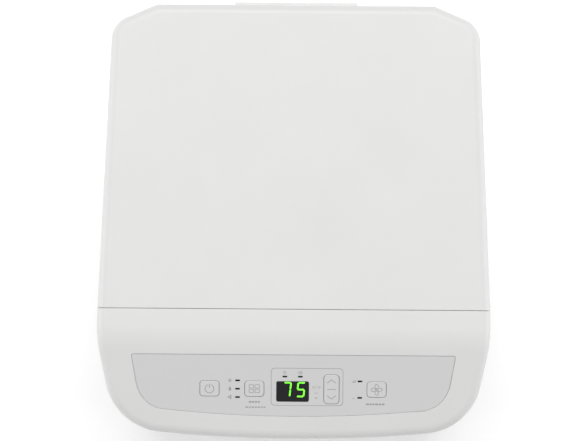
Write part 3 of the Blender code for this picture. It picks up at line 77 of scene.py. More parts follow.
INK, LINE = 0.00006, 0.00052  # a printed mark's thickness, and its usual line
CLOCK = (-0.0077, 0.0158)
MODE_SIGNS_X, DEGREE_PLACE, CELSIUS_PLACE = -0.0580, (0.0185, 0.0019), (0.0238, 0.0019)
LAMP_SIZE, FRAME_PLACE, FRAME_SIZE = (0.0044, 0.0016), (0.0127, 0.0022), (0.0662, 0.0361)
DIGIT_V = -0.0004
MARK_REACH = 0.001

# Rear wall: each panel's opening as a half width, its number of slats, and its tab's half width
PANELS = {"upper_filter_frame": (0.116, 12, 0.0565), "lower_filter_door": (0.108, 10, 0.028)}
HOLE_INSETS = {"exhaust_collar": 0.0105, "drain_cap": 0.0042, "drain_plug": 0.0042, "cord_gland": 0.0042}
HANDLE_SIZE, HANDLE_CORNER = (0.036, 0.110), 0.014
FILTER_PITCH, FIN_PITCH = 0.0042, 0.0024

# Works and casters
COMPRESSOR_PLACE, COMPRESSOR_RADIUS = Vector((-0.075, -0.095, 0)), 0.050
ACCUMULATOR_PLACE, ACCUMULATOR_TOP = Vector((-0.143, -0.060, 0)), 0.2300
WHEEL_PLATE_Y, WHEEL_RADIUS, WHEEL_DEEP, BLADES = 0.0425, 0.068, 0.056, 40
CASTERS = ("front_left", "front_right", "rear_left", "rear_right")
TYRE_RADIUS, TYRE_HALF = 0.018, 0.007

REACH = 0.01  # how far a cutting tool stands out of what it cuts
SAME, NEAR = 1e-6, 1e-5  # the lengths under which two places count as one
DUST = (0.62, 0.60, 0.57)

# Frame pieces that are shown with eased edges, and those that are shown as they are
EASED_NODES = {
    "outlet_frame": (0.0006, "inner_grey_moulding"),
    "left_handle_cup": (0.0006, "inner_grey_moulding"),
    "right_handle_cup": (0.0006, "inner_grey_moulding"),
    "base_pan": (0.0006, "pan_moulding"),
    "control_box": (0.0010, "inner_grey_moulding"),
    "louvre_motor": (0.0005, "plated_steel"),
    "louvre_link": (0.0002, "louvre_grey"),
    "vane_link": (0.0002, "louvre_grey"),
    "display_board": (0.0002, "board_mask"),
}
for kind, count in (("louvre_blade", 4), ("vane", 5)):
    for number in range(1, count + 1):
        EASED_NODES[f"{kind}_{number}"] = (0.0003, "louvre_grey")
PLAIN_NODES = {
    "middle_deck": "inner_grey_moulding",
    "evaporator_scroll": "inner_grey_moulding",
    "condenser_scroll": "inner_grey_moulding",
    "suction_line": "drawn_copper",
    "discharge_line": "drawn_copper",
    "air_duct": "inner_grey_moulding",
}

# Camera and softboxes: each one's place, size and power
CAMERA_ABOVE, CAMERA_Y, VIEW_Y, VIEW_WIDE, VIEW_TURN = 3.74, -0.130, -0.0098, 0.5374, math.radians(0.45)
SOFTBOXES = {
    "rear_softbox": ((0, 1.9, 4.8), (3.0, 2.4), 129),
    "left_softbox": ((-2.7, 0.1, 1.5), (1.8, 1.6), 25),
    "right_softbox": ((2.7, 0.1, 1.5), (1.8, 1.6), 25),
    "front_softbox": ((0, -3.2, 1.3), (2.4, 1.2), 17),
}


# ---------------------------------------------------------------- bench work


@contextlib.contextmanager
def editing(piece):
    """Edit mode on one piece, with everything else deselected."""
    hold(piece)
    bpy.ops.object.mode_set(mode="EDIT")
    yield
    bpy.ops.object.mode_set(mode="OBJECT")


def hold(piece):
    bpy.ops.object.select_all(action="DESELECT")
    piece.select_set(True)
    bpy.context.view_layer.objects.active = piece


def pick(kind, test):
    """Selects the faces, edges or points that pass a test, in edit mode."""
    bpy.ops.mesh.select_mode(type=kind)
    bpy.ops.mesh.select_all(action="DESELECT")
    mesh = bpy.context.object.data
    shape = bmesh.from_edit_mesh(mesh)
    shape.normal_update()
    for item in {"VERT": shape.verts, "EDGE": shape.edges, "FACE": shape.faces}[kind]:
        if test(item):
            item.select_set(True)
    bmesh.update_edit_mesh(mesh)


def named(piece, name):
    piece.name = name
    piece.data.name = name
    return piece


def box(name, low, high):
    centre = [(a + b) / 2 for a, b in zip(low, high)]
    size = [b - a for a, b in zip(low, high)]
    bpy.ops.mesh.primitive_cube_add(size=1, location=centre, scale=size)
    bpy.ops.object.transform_apply()
    return named(bpy.context.object, name)


def rod(name, radius, start, end, sides=32):
    """A cylinder from one point to another."""
    start, end = Vector(start), Vector(end)
    bpy.ops.mesh.primitive_cylinder_add(vertices=sides, radius=radius, depth=(end - start).length)
    piece = bpy.context.object
    turn = (end - start).to_track_quat("Z", "Y").to_matrix().to_4x4()
    settle(piece, Matrix.Translation((start + end) / 2) @ turn)
    return named(piece, name)


def settle(piece, place):
    """Puts a piece in its place and leaves the place in its mesh."""
    piece.matrix_world = place
    hold(piece)
    bpy.ops.object.transform_apply()
    return piece


def spun(name, profile, place=Matrix(), steps=64, closed=False):
    """A turned piece: a profile of (radius, height) points spun round Z, then put in its place."""
    bpy.ops.mesh.primitive_plane_add(size=0.001)
    piece = named(bpy.context.object, name)
    path = profile + profile[:1] if closed else profile
    with editing(piece):
        bpy.ops.mesh.select_mode(type="VERT")
        bpy.ops.mesh.select_all(action="SELECT")
        bpy.ops.mesh.merge(type="CENTER")
        bpy.ops.transform.translate(value=(path[0][0], 0, path[0][1]))
        for (radius, height), (next_radius, next_height) in itertools.pairwise(path):
            step = (next_radius - radius, 0, next_height - height)
            bpy.ops.mesh.extrude_region_move(TRANSFORM_OT_translate={"value": step})
        bpy.ops.mesh.select_all(action="SELECT")
        bpy.ops.mesh.spin(steps=steps, angle=math.tau, center=(0, 0, 0), axis=(0, 0, 1))
        bpy.ops.mesh.select_all(action="SELECT")
        bpy.ops.mesh.remove_doubles(threshold=SAME)
        bpy.ops.mesh.normals_make_consistent(inside=False)
    return settle(piece, place)


def mirrored(profile):
    """A profile from its lower half: the same points again, the other way up."""
    return profile + [(radius, -height) for radius, height in reversed(profile)]


def band(inner, outer, low, high):
    """The closed profile of a plain ring."""
    return [(inner, low), (outer, low), (outer, high), (inner, high)]


def facing(x, y, z, axis):
    """A place whose local Z points along a world axis, given as a vector."""
    return Matrix.Translation((x, y, z)) @ Vector(axis).to_track_quat("Z", "Y").to_matrix().to_4x4()


def spread(piece, name, count):
    """The piece and its copies, evenly round Z, as one piece."""
    turns = (Matrix.Rotation(math.tau * i / count, 4, "Z") for i in range(1, count))
    return join(name, piece, *[copy_of(piece, name, turn) for turn in turns])


def middle(node):
    """The middle of a frame piece's box."""
    low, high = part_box(node)
    return (Vector(low) + Vector(high)) / 2


def copy_of(piece, name, place=None):
    """Another of the same piece, with a mesh of its own."""
    mate = bpy.data.objects.new(name, piece.data.copy())
    bpy.context.scene.collection.objects.link(mate)
    mate.data.name = name
    return settle(mate, place) if place else mate


def true_round(radius, turn, segments):
    """Bevels the picked edges to a real radius, where the faces turn by that angle."""
    half = turn / 2
    profile = (1 - 0.5 / (1 + math.cos(half))) ** 2
    bpy.ops.mesh.bevel(
        offset=radius * math.tan(half), segments=segments, profile=profile, clamp_overlap=False
    )


def is_upright(edge):
    a, b = (vert.co for vert in edge.verts)
    return (a.xy - b.xy).length < SAME


def stands_at(edge, place):
    return is_upright(edge) and (edge.verts[0].co.xy - Vector(place)).length < 1e-4


def apply_modifier(piece, kind, **settings):
    modifier = piece.modifiers.new(kind.title(), kind)
    for setting, value in settings.items():
        setattr(modifier, setting, value)
    hold(piece)
    bpy.ops.object.modifier_apply(modifier=modifier.name)
    return piece


def cut(piece, *tools):
    for tool in tools:
        apply_modifier(piece, "BOOLEAN", operation="DIFFERENCE", object=tool)
        bpy.data.objects.remove(tool)
    return piece


def join(name, *parts):
    """Several meshes as one piece."""
    hold(parts[0])
    for part in parts:
        part.select_set(True)
    bpy.ops.object.join()
    return named(bpy.context.object, name)


def soft_edges(piece, width, segments=2, angle=35):
    """Rounds every edge that turns by more than the angle."""
    return apply_modifier(
        piece, "BEVEL", width=width, segments=segments, limit_method="ANGLE",
        angle_limit=math.radians(angle), use_clamp_overlap=False, miter_outer="MITER_ARC",
    )


def fit(piece, finish, body, *nodes, smooth=32):
    """Gives a finished piece its material, its shading and the body that it rides on."""
    piece.data.materials.clear()
    piece.data.materials.append(bpy.data.materials[finish])
    hold(piece)
    bpy.ops.object.shade_smooth_by_angle(angle=math.radians(smooth))
    apply_modifier(piece, "WEIGHTED_NORMAL", keep_sharp=True)
    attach(piece, body)
    if nodes:
        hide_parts(*nodes)
    return piece


def body_of(node):
    bodies = frame["record"]["behaviour"]["bodies"]
    return next(name for name, nodes in bodies.items() if node in nodes)


def refined(node, width, finish, segments=2):
    """A copy of a frame piece with its triangles merged and its edges rounded, in its place."""
    piece = copy_of(frame["nodes"][node], node + "_body")
    with editing(piece):
        bpy.ops.mesh.select_all(action="SELECT")
        bpy.ops.mesh.remove_doubles(threshold=NEAR)
        bpy.ops.mesh.dissolve_limited(angle_limit=math.radians(0.4))
    soft_edges(piece, width, segments)
    return fit(piece, finish, body_of(node), node)


def dress(node, finish):
    """Gives a frame piece that keeps its own shape its finish."""
    for place in frame["nodes"][node].material_slots:
        place.material = bpy.data.materials[finish]


# ---------------------------------------------------------------- finishes


def new_node(tree, kind, **settings):
    node = tree.nodes.new(kind)
    for setting, value in settings.items():
        setattr(node, setting, value)
    return node


def effect(name, inputs, outputs):
    """An empty effect group with named inputs and outputs, and its two end nodes."""
    tree = bpy.data.node_groups.new(name, "ShaderNodeTree")
    for label, kind, value in inputs:
        socket = tree.interface.new_socket(label, in_out="INPUT", socket_type="NodeSocket" + kind)
        if value is not None:
            socket.default_value = value
    for label in outputs:
        tree.interface.new_socket(label, in_out="OUTPUT", socket_type="NodeSocketFloat")
    return tree, tree.nodes.new("NodeGroupInput"), tree.nodes.new("NodeGroupOutput")


def noise(tree, vector, scale, detail=2.0):
    node = new_node(tree, "ShaderNodeTexNoise")
    node.inputs["Detail"].default_value = detail
    tree.links.new(vector, node.inputs["Vector"])
    if isinstance(scale, float):
        node.inputs["Scale"].default_value = scale
    else:
        tree.links.new(scale, node.inputs["Scale"])
    return node.outputs["Fac"]


def blend_by(tree, operation, a, b):
    node = new_node(tree, "ShaderNodeMath", operation=operation, use_clamp=True)
    for socket, value in zip(node.inputs, (a, b)):
        if isinstance(value, (int, float)):
            socket.default_value = value
        else:
            tree.links.new(value, socket)
    return node.outputs[0]


def stretched(tree, value, low, high, to_low=0.0, to_high=1.0):
    node = new_node(tree, "ShaderNodeMapRange")
    for label, number in zip(("From Min", "From Max", "To Min", "To Max"), (low, high, to_low, to_high)):
        node.inputs[label].default_value = number
    tree.links.new(value, node.inputs["Value"])
    return node.outputs["Result"]


def patches_of(tree, given, label, low, high):
    """Noise at one of an effect's own scales, stretched so that it covers only part of the surface."""
    return stretched(tree, noise(tree, given.outputs["Vector"], given.outputs[label]), low, high)


def make_moulded_grain():
    """Fine spark-eroded grain of moulded plastic, and broad patches where it polished out."""
    tree, given, out = effect(
        "Moulded grain",
        [("Vector", "Vector", None), ("Grain", "Float", 1500.0), ("Patches", "Float", 9.0)],
        ["Height", "Patch"],
    )
    fine = noise(tree, given.outputs["Vector"], given.outputs["Grain"], 3.0)
    patch = noise(tree, given.outputs["Vector"], given.outputs["Patches"], 4.0)
    tree.links.new(fine, out.inputs["Height"])
    tree.links.new(stretched(tree, patch, 0.32, 0.68), out.inputs["Patch"])


def make_edge_wear():
    """Where handling has rubbed the edges, broken up by noise."""
    tree, given, out = effect(
        "Edge wear",
        [("Vector", "Vector", None), ("Reach", "Float", 0.0008), ("Breaks", "Float", 220.0)],
        ["Mask"],
    )
    eased = new_node(tree, "ShaderNodeBevel", samples=4)
    tree.links.new(given.outputs["Reach"], eased.inputs["Radius"])
    surface = new_node(tree, "ShaderNodeNewGeometry")
    compare = new_node(tree, "ShaderNodeVectorMath", operation="DOT_PRODUCT")
    tree.links.new(eased.outputs["Normal"], compare.inputs[0])
    tree.links.new(surface.outputs["Normal"], compare.inputs[1])
    edge = stretched(tree, compare.outputs["Value"], 0.99, 0.85)
    breaks = patches_of(tree, given, "Breaks", 0.42, 0.62)
    tree.links.new(blend_by(tree, "MULTIPLY", edge, breaks), out.inputs["Mask"])


def make_settled_dust():
    """Dust that has settled on what faces up."""
    tree, given, out = effect(
        "Settled dust",
        [("Vector", "Vector", None), ("Specks", "Float", 380.0), ("Drifts", "Float", 24.0)],
        ["Mask"],
    )
    surface = new_node(tree, "ShaderNodeNewGeometry")
    parts = new_node(tree, "ShaderNodeSeparateXYZ")
    tree.links.new(surface.outputs["Normal"], parts.inputs[0])
    upward = stretched(tree, parts.outputs["Z"], 0.55, 1.0)
    specks = patches_of(tree, given, "Specks", 0.50, 0.75)
    drifts = patches_of(tree, given, "Drifts", 0.40, 0.70)
    scattered = blend_by(tree, "ADD", blend_by(tree, "MULTIPLY", specks, 0.6), drifts)
    tree.links.new(blend_by(tree, "MULTIPLY", scattered, upward), out.inputs["Mask"])


def make_drawn_lines():
    """Fine lines along one direction, as on drawn and rolled metal."""
    tree, given, out = effect(
        "Drawn lines",
        [("Vector", "Vector", None), ("Lines", "Float", 900.0), ("Stretch", "Vector", (1.0, 1.0, 0.03))],
        ["Height", "Tone"],
    )
    scaled = new_node(tree, "ShaderNodeVectorMath", operation="MULTIPLY")
    tree.links.new(given.outputs["Vector"], scaled.inputs[0])
    tree.links.new(given.outputs["Stretch"], scaled.inputs[1])
    lines = noise(tree, scaled.outputs["Vector"], given.outputs["Lines"], 4.0)
    tree.links.new(lines, out.inputs["Height"])
    tree.links.new(stretched(tree, lines, 0.3, 0.7), out.inputs["Tone"])


def place_effect(tree, name, **values):
    """An effect group in a material, on Object coordinates."""
    node = new_node(tree, "ShaderNodeGroup", node_tree=bpy.data.node_groups[name])
    coordinates = tree.nodes.get("Texture Coordinate") or new_node(tree, "ShaderNodeTexCoord")
    tree.links.new(coordinates.outputs["Object"], node.inputs["Vector"])
    for label, value in values.items():
        node.inputs[label].default_value = value
    return node


def tinted(tree, mask, a, b):
    """Colour a where the mask is 0, going to b where it is 1. Either is a colour or a socket."""
    node = new_node(tree, "ShaderNodeMix", data_type="RGBA")
    sockets = [s for s in node.inputs if s.type == "RGBA"]
    for socket, value in zip(sockets, (a, b)):
        if isinstance(value, tuple):
            socket.default_value = (*value, 1)
        else:
            tree.links.new(value, socket)
    tree.links.new(mask, node.inputs[0])
    return next(s for s in node.outputs if s.type == "RGBA")


def shaded(colour, amount):
    return tuple(min(1.0, part * amount) for part in colour)


def start_finish(name, roughness, metallic=0.0, coat=0.0, specular=0.5):
    material = bpy.data.materials.new(name)
    material.use_nodes = True
    shader = material.node_tree.nodes["Principled BSDF"]
    shader.inputs["Roughness"].default_value = roughness
    shader.inputs["Metallic"].default_value = metallic
    shader.inputs["Coat Weight"].default_value = coat
    shader.inputs["Specular IOR Level"].default_value = specular
    return material.node_tree, shader


def lay_on(tree, shader, shown, rough, dust, height, depth):
    """Dusts a colour and a roughness, and gives them to the shader with their fine relief."""
    if dust:
        settled = place_effect(tree, "Settled dust")
        thin = blend_by(tree, "MULTIPLY", settled.outputs["Mask"], dust)
        shown = tinted(tree, thin, shown, DUST)
        rough = blend_by(tree, "ADD", rough, thin)
    tree.links.new(shown, shader.inputs["Base Color"])
    tree.links.new(rough, shader.inputs["Roughness"])
    relief = new_node(tree, "ShaderNodeBump")
    relief.inputs["Strength"].default_value = 1.0
    relief.inputs["Distance"].default_value = depth
    tree.links.new(height, relief.inputs["Height"])
    tree.links.new(relief.outputs["Normal"], shader.inputs["Normal"])


def glow(tree, shader, colour, strength):
    tree.links.new(colour, shader.inputs["Base Color"])
    tree.links.new(colour, shader.inputs["Emission Color"])
    shader.inputs["Emission Strength"].default_value = strength


def make_plastic(
    name, colour, roughness, grain=1500.0, depth=0.00002, mottle=0.012, wear=None, dust=0.0, coat=0.0
):
    """Moulded plastic: its grain, patches of gloss and tone, rubbed edges and settled dust."""
    tree, shader = start_finish(name, roughness, coat=coat)
    moulded = place_effect(tree, "Moulded grain", Grain=grain)
    shown = tinted(tree, moulded.outputs["Patch"], shaded(colour, 1 - mottle), shaded(colour, 1 + mottle))
    rough = stretched(tree, moulded.outputs["Patch"], 0, 1, roughness * 0.93, roughness * 1.07)
    if wear:
        worn = place_effect(tree, "Edge wear")
        shown = tinted(tree, worn.outputs["Mask"], shown, wear)
    lay_on(tree, shader, shown, rough, dust, moulded.outputs["Height"], depth)


def make_metal(name, colour, roughness, stretch=(1.0, 1.0, 0.03), lines=900.0, tarnish=None, dust=0.0):
    """Drawn or rolled metal with fine lines, tarnish in patches and settled dust."""
    tree, shader = start_finish(name, roughness, metallic=1.0)
    drawn = place_effect(tree, "Drawn lines", Lines=lines, Stretch=stretch)
    shown = tinted(tree, drawn.outputs["Tone"], shaded(colour, 0.9), shaded(colour, 1.06))
    rough = stretched(tree, drawn.outputs["Tone"], 0, 1, roughness * 0.8, roughness * 1.2)
    if tarnish:
        patches = place_effect(tree, "Moulded grain", Patches=34.0)
        shown = tinted(tree, blend_by(tree, "MULTIPLY", patches.outputs["Patch"], 0.6), shown, tarnish)
    lay_on(tree, shader, shown, rough, dust, drawn.outputs["Height"], 0.00001)


def make_lit_green():
    """Glowing segments, a little uneven along their length."""
    tree, shader = start_finish("lit_green", 0.3)
    uneven = place_effect(tree, "Moulded grain", Patches=260.0)
    glow(tree, shader, tinted(tree, uneven.outputs["Patch"], (0.12, 0.85, 0.03), (0.22, 1.0, 0.06)), 1.0)


def make_finishes():
    make_moulded_grain()
    make_edge_wear()
    make_settled_dust()
    make_drawn_lines()
    white, rubbed_white = (0.80, 0.80, 0.795), (0.86, 0.86, 0.85)
    make_plastic("casing_white", white, 0.42, depth=0.000015, wear=rubbed_white, dust=0.03)
    make_plastic("overlay_satin", (0.725, 0.725, 0.725), 0.36, grain=2600.0, depth=0.000006, coat=0.15)
    make_plastic("key_satin", (0.73, 0.73, 0.73), 0.34, grain=2600.0, depth=0.000006, wear=(0.77, 0.77, 0.77))
    make_plastic("legend_grey", (0.33, 0.33, 0.335), 0.5, depth=0.000004)
    make_plastic("legend_pale", (0.40, 0.40, 0.405), 0.5, depth=0.000004)
    make_plastic("tinted_window", (0.012, 0.011, 0.014), 0.09, grain=500.0, depth=0.000002, coat=0.6)
    make_plastic("lamp_black", (0.006, 0.006, 0.006), 0.25, grain=900.0, depth=0.000004)
    make_plastic("inner_grey_moulding", (0.36, 0.37, 0.38), 0.55, depth=0.00003, dust=0.25)
    make_plastic("louvre_grey", (0.46, 0.47, 0.48), 0.45, depth=0.000015, wear=(0.56, 0.56, 0.57), dust=0.1)
    make_plastic("filter_thread", (0.16, 0.17, 0.18), 0.75, depth=0.00002, dust=0.35)
    make_plastic("pan_moulding", (0.26, 0.27, 0.28), 0.6, depth=0.00003, dust=0.35)
    make_plastic("board_mask", (0.03, 0.16, 0.07), 0.4, depth=0.00001, mottle=0.08)
    rubber, rubbed_rubber = (0.028, 0.028, 0.03), (0.09, 0.09, 0.09)
    make_plastic("black_rubber", rubber, 0.72, grain=700.0, depth=0.00004, wear=rubbed_rubber)
    make_plastic("tread_grey", (0.11, 0.11, 0.115), 0.6, grain=600.0, depth=0.00004, wear=(0.2, 0.2, 0.2))
    make_plastic("baked_black", (0.02, 0.02, 0.021), 0.33, grain=800.0, depth=0.00002, dust=0.15)
    make_metal("rolled_aluminium", (0.78, 0.79, 0.80), 0.34, stretch=(1.0, 1.0, 0.04), dust=0.1)
    make_metal("drawn_copper", (0.78, 0.38, 0.24), 0.28, tarnish=(0.30, 0.15, 0.10), dust=0.05)
    make_metal("plated_steel", (0.56, 0.57, 0.58), 0.32, stretch=(1.0, 0.04, 1.0), dust=0.1)
    make_lit_green()


# ---------------------------------------------------------------- casing


def heading(angle):
    return Vector((math.cos(angle), math.sin(angle)))


def meeting_point(a, along_a, b, along_b):
    """Where the line through a crosses the line through b."""
    return a + along_a * ((b - a).cross(along_b) / along_a.cross(along_b))


def cut_beyond(place, normal, fill=True):
    """Cuts away what lies beyond a plane, in edit mode."""
    bpy.ops.mesh.select_mode(type="FACE")
    bpy.ops.mesh.select_all(action="SELECT")
    bpy.ops.mesh.bisect(plane_co=place, plane_no=normal, use_fill=fill, clear_outer=True)


def on_both_sides(place):
    return [place] if abs(place.x) < SAME else [place, Vector((-place.x, place.y))]


def shape_plan(faces, uprights):
    """Cuts a block to its plan on both sides and rounds its uprights, in edit mode."""
    for point, turn in faces:
        for side in (-1, 1):
            cut_beyond((side * point.x, point.y, 0), (side * math.sin(turn), -math.cos(turn), 0))
    for corner, turn, radius, segments in uprights:
        for place in on_both_sides(corner):
            pick("EDGE", lambda edge: stands_at(edge, place))
            true_round(radius, turn, segments)


def apex_of(bow, turn):
    """Where the two halves of a bow would meet on the middle line if they were straight."""
    return meeting_point(bow, heading(turn), Vector((0, 0)), Vector((0, 1)))


def casing_block():
    """The outer form as one solid: a box cut to its plan, rounded at its uprights, then sloped."""
    right = math.pi / 2
    bow = Vector((BOW_RADIUS * math.tan(BOW_TURN / 2), FRONT_Y))
    bend = Vector((HALF_WIDTH, BEND_Y))
    back = Vector((REAR_FLAT, REAR_Y))
    front_side, rear_side, rear_bevel = right - SIDE_SWEEP, right + REAR_SWEEP, right + REAR_BEVEL
    faces = [(bow, BOW_TURN), (bend, front_side), (bend, rear_side), (back, rear_bevel)]
    front_corner = meeting_point(bow, heading(BOW_TURN), bend, heading(front_side))
    rear_corner = meeting_point(bend, heading(rear_side), back, heading(rear_bevel))
    uprights = [
        (apex_of(bow, BOW_TURN), BOW_TURN * 2, BOW_RADIUS, 14),
        (front_corner, front_side - BOW_TURN, FRONT_CORNER, 14),
        (bend, rear_side - front_side, BEND_RADIUS, 6),
        (rear_corner, rear_bevel - rear_side, REAR_CORNER, 10),
        (back, math.pi - rear_bevel, REAR_BEND, 5),
    ]
    block = box("casing_block", (-HALF_WIDTH, FRONT_Y * 1.1, SKIRT_Z), (HALF_WIDTH, REAR_Y, HEIGHT * 1.1))
    wide = HALF_WIDTH * 1.1
    side_form = box("side_form", (-wide, FRONT_Y * 1.2, 0), (wide, REAR_Y * 1.1, HEIGHT))
    with editing(block):
        shape_plan(faces, uprights)
    with editing(side_form):
        fold_y = ROLL_START - ROLL_RADIUS * math.tan(SLOPE / 2)
        cut_beyond((0, fold_y, HEIGHT), (0, -math.sin(SLOPE), math.cos(SLOPE)))
        fold = Vector((fold_y, HEIGHT))
        pick("EDGE", lambda edge: all((vert.co.yz - fold).length < NEAR for vert in edge.verts))
        true_round(ROLL_RADIUS, SLOPE, 6)
    apply_modifier(block, "BOOLEAN", operation="INTERSECT", object=side_form)
    bpy.data.objects.remove(side_form)
    with editing(block):
        pick("EDGE", is_top_edge)
        true_round(EDGE_RADIUS, math.pi / 2, 7)
        # Where the roll's end crosses the bend, the rounding leaves points almost on one another.
        pick("VERT", lambda vert: abs(vert.co.y - BEND_Y) < 0.016 and abs(vert.co.x) > HALF_WIDTH * 0.9)
        bpy.ops.mesh.remove_doubles(threshold=0.0006)
    return block


def is_top_edge(edge):
    """An edge between the top and a wall."""
    slants = sorted(face.normal.z for face in edge.link_faces)
    return len(slants) == 2 and abs(slants[0]) < 0.1 and slants[1] > 0.9


def casing_shell(block, name, seam_y, away):
    """The part of the block on one side of the seam, as a wall of even thickness, open below."""
    shell = copy_of(block, name)
    with editing(shell):
        cut_beyond((0, seam_y, 0), (0, away, 0), fill=False)
        pick("FACE", lambda face: face.normal.z < -0.9)
        bpy.ops.mesh.delete(type="FACE")
    return apply_modifier(shell, "SOLIDIFY", thickness=WALL, offset=-1, use_even_offset=True)


ROLL_DROP = ROLL_RADIUS * (1 - math.cos(SLOPE))
SLOPE_RUN = ROLL_START - KEY_ROW_Y - ROLL_RADIUS * math.sin(SLOPE)
KEY_ROW_Z = HEIGHT - ROLL_DROP - SLOPE_RUN * math.tan(SLOPE)
SLOPE_PLACE = Matrix.Translation((0, KEY_ROW_Y, KEY_ROW_Z)) @ Matrix.Rotation(SLOPE, 4, "X")


def rounded_block(name, place, size, corner, low, high, rim=0.0, steps=6):
    """A block with rounded uprights about a place on the slope's plan, and its upper rim eased."""
    (x, v), (wide, tall) = place, size
    piece = box(name, (x - wide / 2, v - tall / 2, low), (x + wide / 2, v + tall / 2, high))
    with editing(piece):
        pick("EDGE", is_upright)
        true_round(corner, math.pi / 2, steps)
        if rim:
            pick("EDGE", lambda edge: all(vert.co.z > high - SAME for vert in edge.verts))
            true_round(rim, math.pi / 2, 4)
    return piece


def overlay_blank(name, grow, low, high):
    """The control overlay's outline as a plate: a tapered field, bowed along its lower edge."""
    lower = Vector((OVERLAY_BOW * math.tan(OVERLAY_BOW_TURN / 2), -OVERLAY_DOWN))
    upper = Vector((OVERLAY_HALF_TOP, OVERLAY_UP))
    side = math.pi / 2 - OVERLAY_SIDE
    corner = meeting_point(lower, heading(OVERLAY_BOW_TURN), upper, heading(side))
    uprights = [
        (apex_of(lower, OVERLAY_BOW_TURN), OVERLAY_BOW_TURN * 2, OVERLAY_BOW, 12),
        (corner, side - OVERLAY_BOW_TURN, OVERLAY_CORNER, 10),
        (upper, math.pi - side, OVERLAY_SHARP, 4),
    ]
    reach = Vector((OVERLAY_HALF_TOP * 1.05, OVERLAY_DOWN * 1.6))
    blank = box(name, (-reach.x, -reach.y, low), (reach.x, OVERLAY_UP, high))
    with editing(blank):
        shape_plan([(lower, OVERLAY_BOW_TURN), (upper, side)], uprights)
        if grow:
            pick("FACE", lambda face: abs(face.normal.z) < 0.1)
            bpy.ops.transform.shrink_fatten(value=grow, use_even_offset=True)
    return blank


KEYS = {
    "power_key": (POWER_X, KEY_SIZE, KEY_CORNER),
    "mode_key": (MODE_X, KEY_SIZE, KEY_CORNER),
    "temp_rocker_key": (ROCKER_X, ROCKER_SIZE, ROCKER_CORNER),
    "fan_speed_key": (FAN_X, KEY_SIZE, KEY_CORNER),
}


def grown(size, by):
    return tuple(side + 2 * by for side in size)


def slope_holes(window_by):
    """Tools for the holes of the window and the keys, on the slope."""
    size = grown(WINDOW_SIZE, window_by)
    yield rounded_block("window_hole", WINDOW_PLACE, size, WINDOW_CORNER, -REACH, REACH)
    for name, (x, size, corner) in KEYS.items():
        size, corner = grown(size, KEY_PLAY), corner + KEY_PLAY
        yield rounded_block(name + "_hole", (x, 0), size, corner, -REACH, REACH)


def make_casing():
    block = casing_block()
    front_seam, rear_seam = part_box("front_casing")[1][1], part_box("rear_casing")[0][1]
    front = casing_shell(block, "front_shell", front_seam, 1)
    rear = casing_shell(block, "rear_shell", rear_seam, -1)
    bpy.data.objects.remove(block)

    pocket = overlay_blank("pocket", GAP, -OVERLAY_THICK - GAP, WALL * 3)
    on_slope = [settle(tool, SLOPE_PLACE) for tool in (pocket, *slope_holes(-0.0018))]
    low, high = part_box("outlet_frame")
    start, end = (low[0] - GAP, FRONT_Y - REACH * 2, low[2] - GAP), (high[0] + GAP, high[1], high[2] + GAP)
    cut(front, *on_slope, box("outlet_hole", start, end))
    soft_edges(front, SEAM_EDGE)
    fit(front, "casing_white", "cabinet", "front_casing", smooth=24)

    tools = []
    for name, (half, _, _) in PANELS.items():
        low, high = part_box(name)
        start, end = (-half, REAR_Y - REACH, low[2] - 0.0005), (half, REAR_Y + REACH, high[2] + 0.0005)
        tools.append(box(name + "_hole", start, end))
    for name, inset in HOLE_INSETS.items():
        low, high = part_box(name)
        radius, (x, _, z) = (high[0] - low[0]) / 2 - inset, middle(name)
        tools.append(rod(name + "_hole", radius, (x, REAR_Y - REACH, z), (x, REAR_Y + REACH, z), 64))
    cut(rear, *tools, handle_hole(-1), handle_hole(1))
    soft_edges(rear, SEAM_EDGE)
    fit(rear, "casing_white", "cabinet", "rear_casing", smooth=24)


def handle_hole(side):
    """The tool for a handle cup's hole, square to the side wall."""
    _, y, z = middle("right_handle_cup")
    x = HALF_WIDTH - (y - BEND_Y) * math.tan(REAR_SWEEP)
    turn = Matrix.Rotation(REAR_SWEEP, 4, "Z") @ Matrix.Rotation(math.pi / 2, 4, "Y")
    size, corner = grown(HANDLE_SIZE, GAP), HANDLE_CORNER + GAP
    tool = rounded_block("handle_hole", (0, 0), size, corner, -REACH * 2, REACH * 2, steps=8)
    settle(tool, Matrix.Diagonal((side, 1, 1, 1)) @ Matrix.Translation((x, y, z)) @ turn)
    with editing(tool):
        bpy.ops.mesh.select_all(action="SELECT")
        bpy.ops.mesh.normals_make_consistent(inside=False)
    return tool


# ---------------------------------------------------------------- controls


def make_overlay():
    overlay = overlay_blank("overlay_plate", 0, -OVERLAY_THICK, 0)
    cut(overlay, *slope_holes(0.0002))
    soft_edges(overlay, 0.0002)
    settle(overlay, SLOPE_PLACE)
    fit(overlay, "overlay_satin", "cabinet", "control_overlay")
    low, high = -OVERLAY_THICK, -GAP / 3
    pane = rounded_block("window_pane", WINDOW_PLACE, WINDOW_SIZE, WINDOW_CORNER, low, high, rim=0.0002)
    settle(pane, SLOPE_PLACE)
    fit(pane, "tinted_window", "cabinet", "display_window")


def make_keys():
    for name, (x, size, corner) in KEYS.items():
        cap = rounded_block(name + "_cap", (x, 0), size, corner, -0.0040, 0.0, rim=0.0006)
        stem = copy_of(frame["nodes"][name], name + "_stem")
        with editing(stem):
            bpy.ops.mesh.select_all(action="SELECT")
            bpy.ops.mesh.remove_doubles(threshold=NEAR)
            depth = 0.0038 if name == "temp_rocker_key" else 0.0028
            base = SLOPE_PLACE @ Vector((0, 0, -depth))
            out = SLOPE_PLACE.to_3x3() @ Vector((0, 0, 1))
            bpy.ops.mesh.bisect(plane_co=base, plane_no=out, use_fill=True, clear_outer=True)
        settle(cap, SLOPE_PLACE)
        piece = join(name + "_cap", cap, stem)
        fit(piece, "key_satin", body_of(name), name)


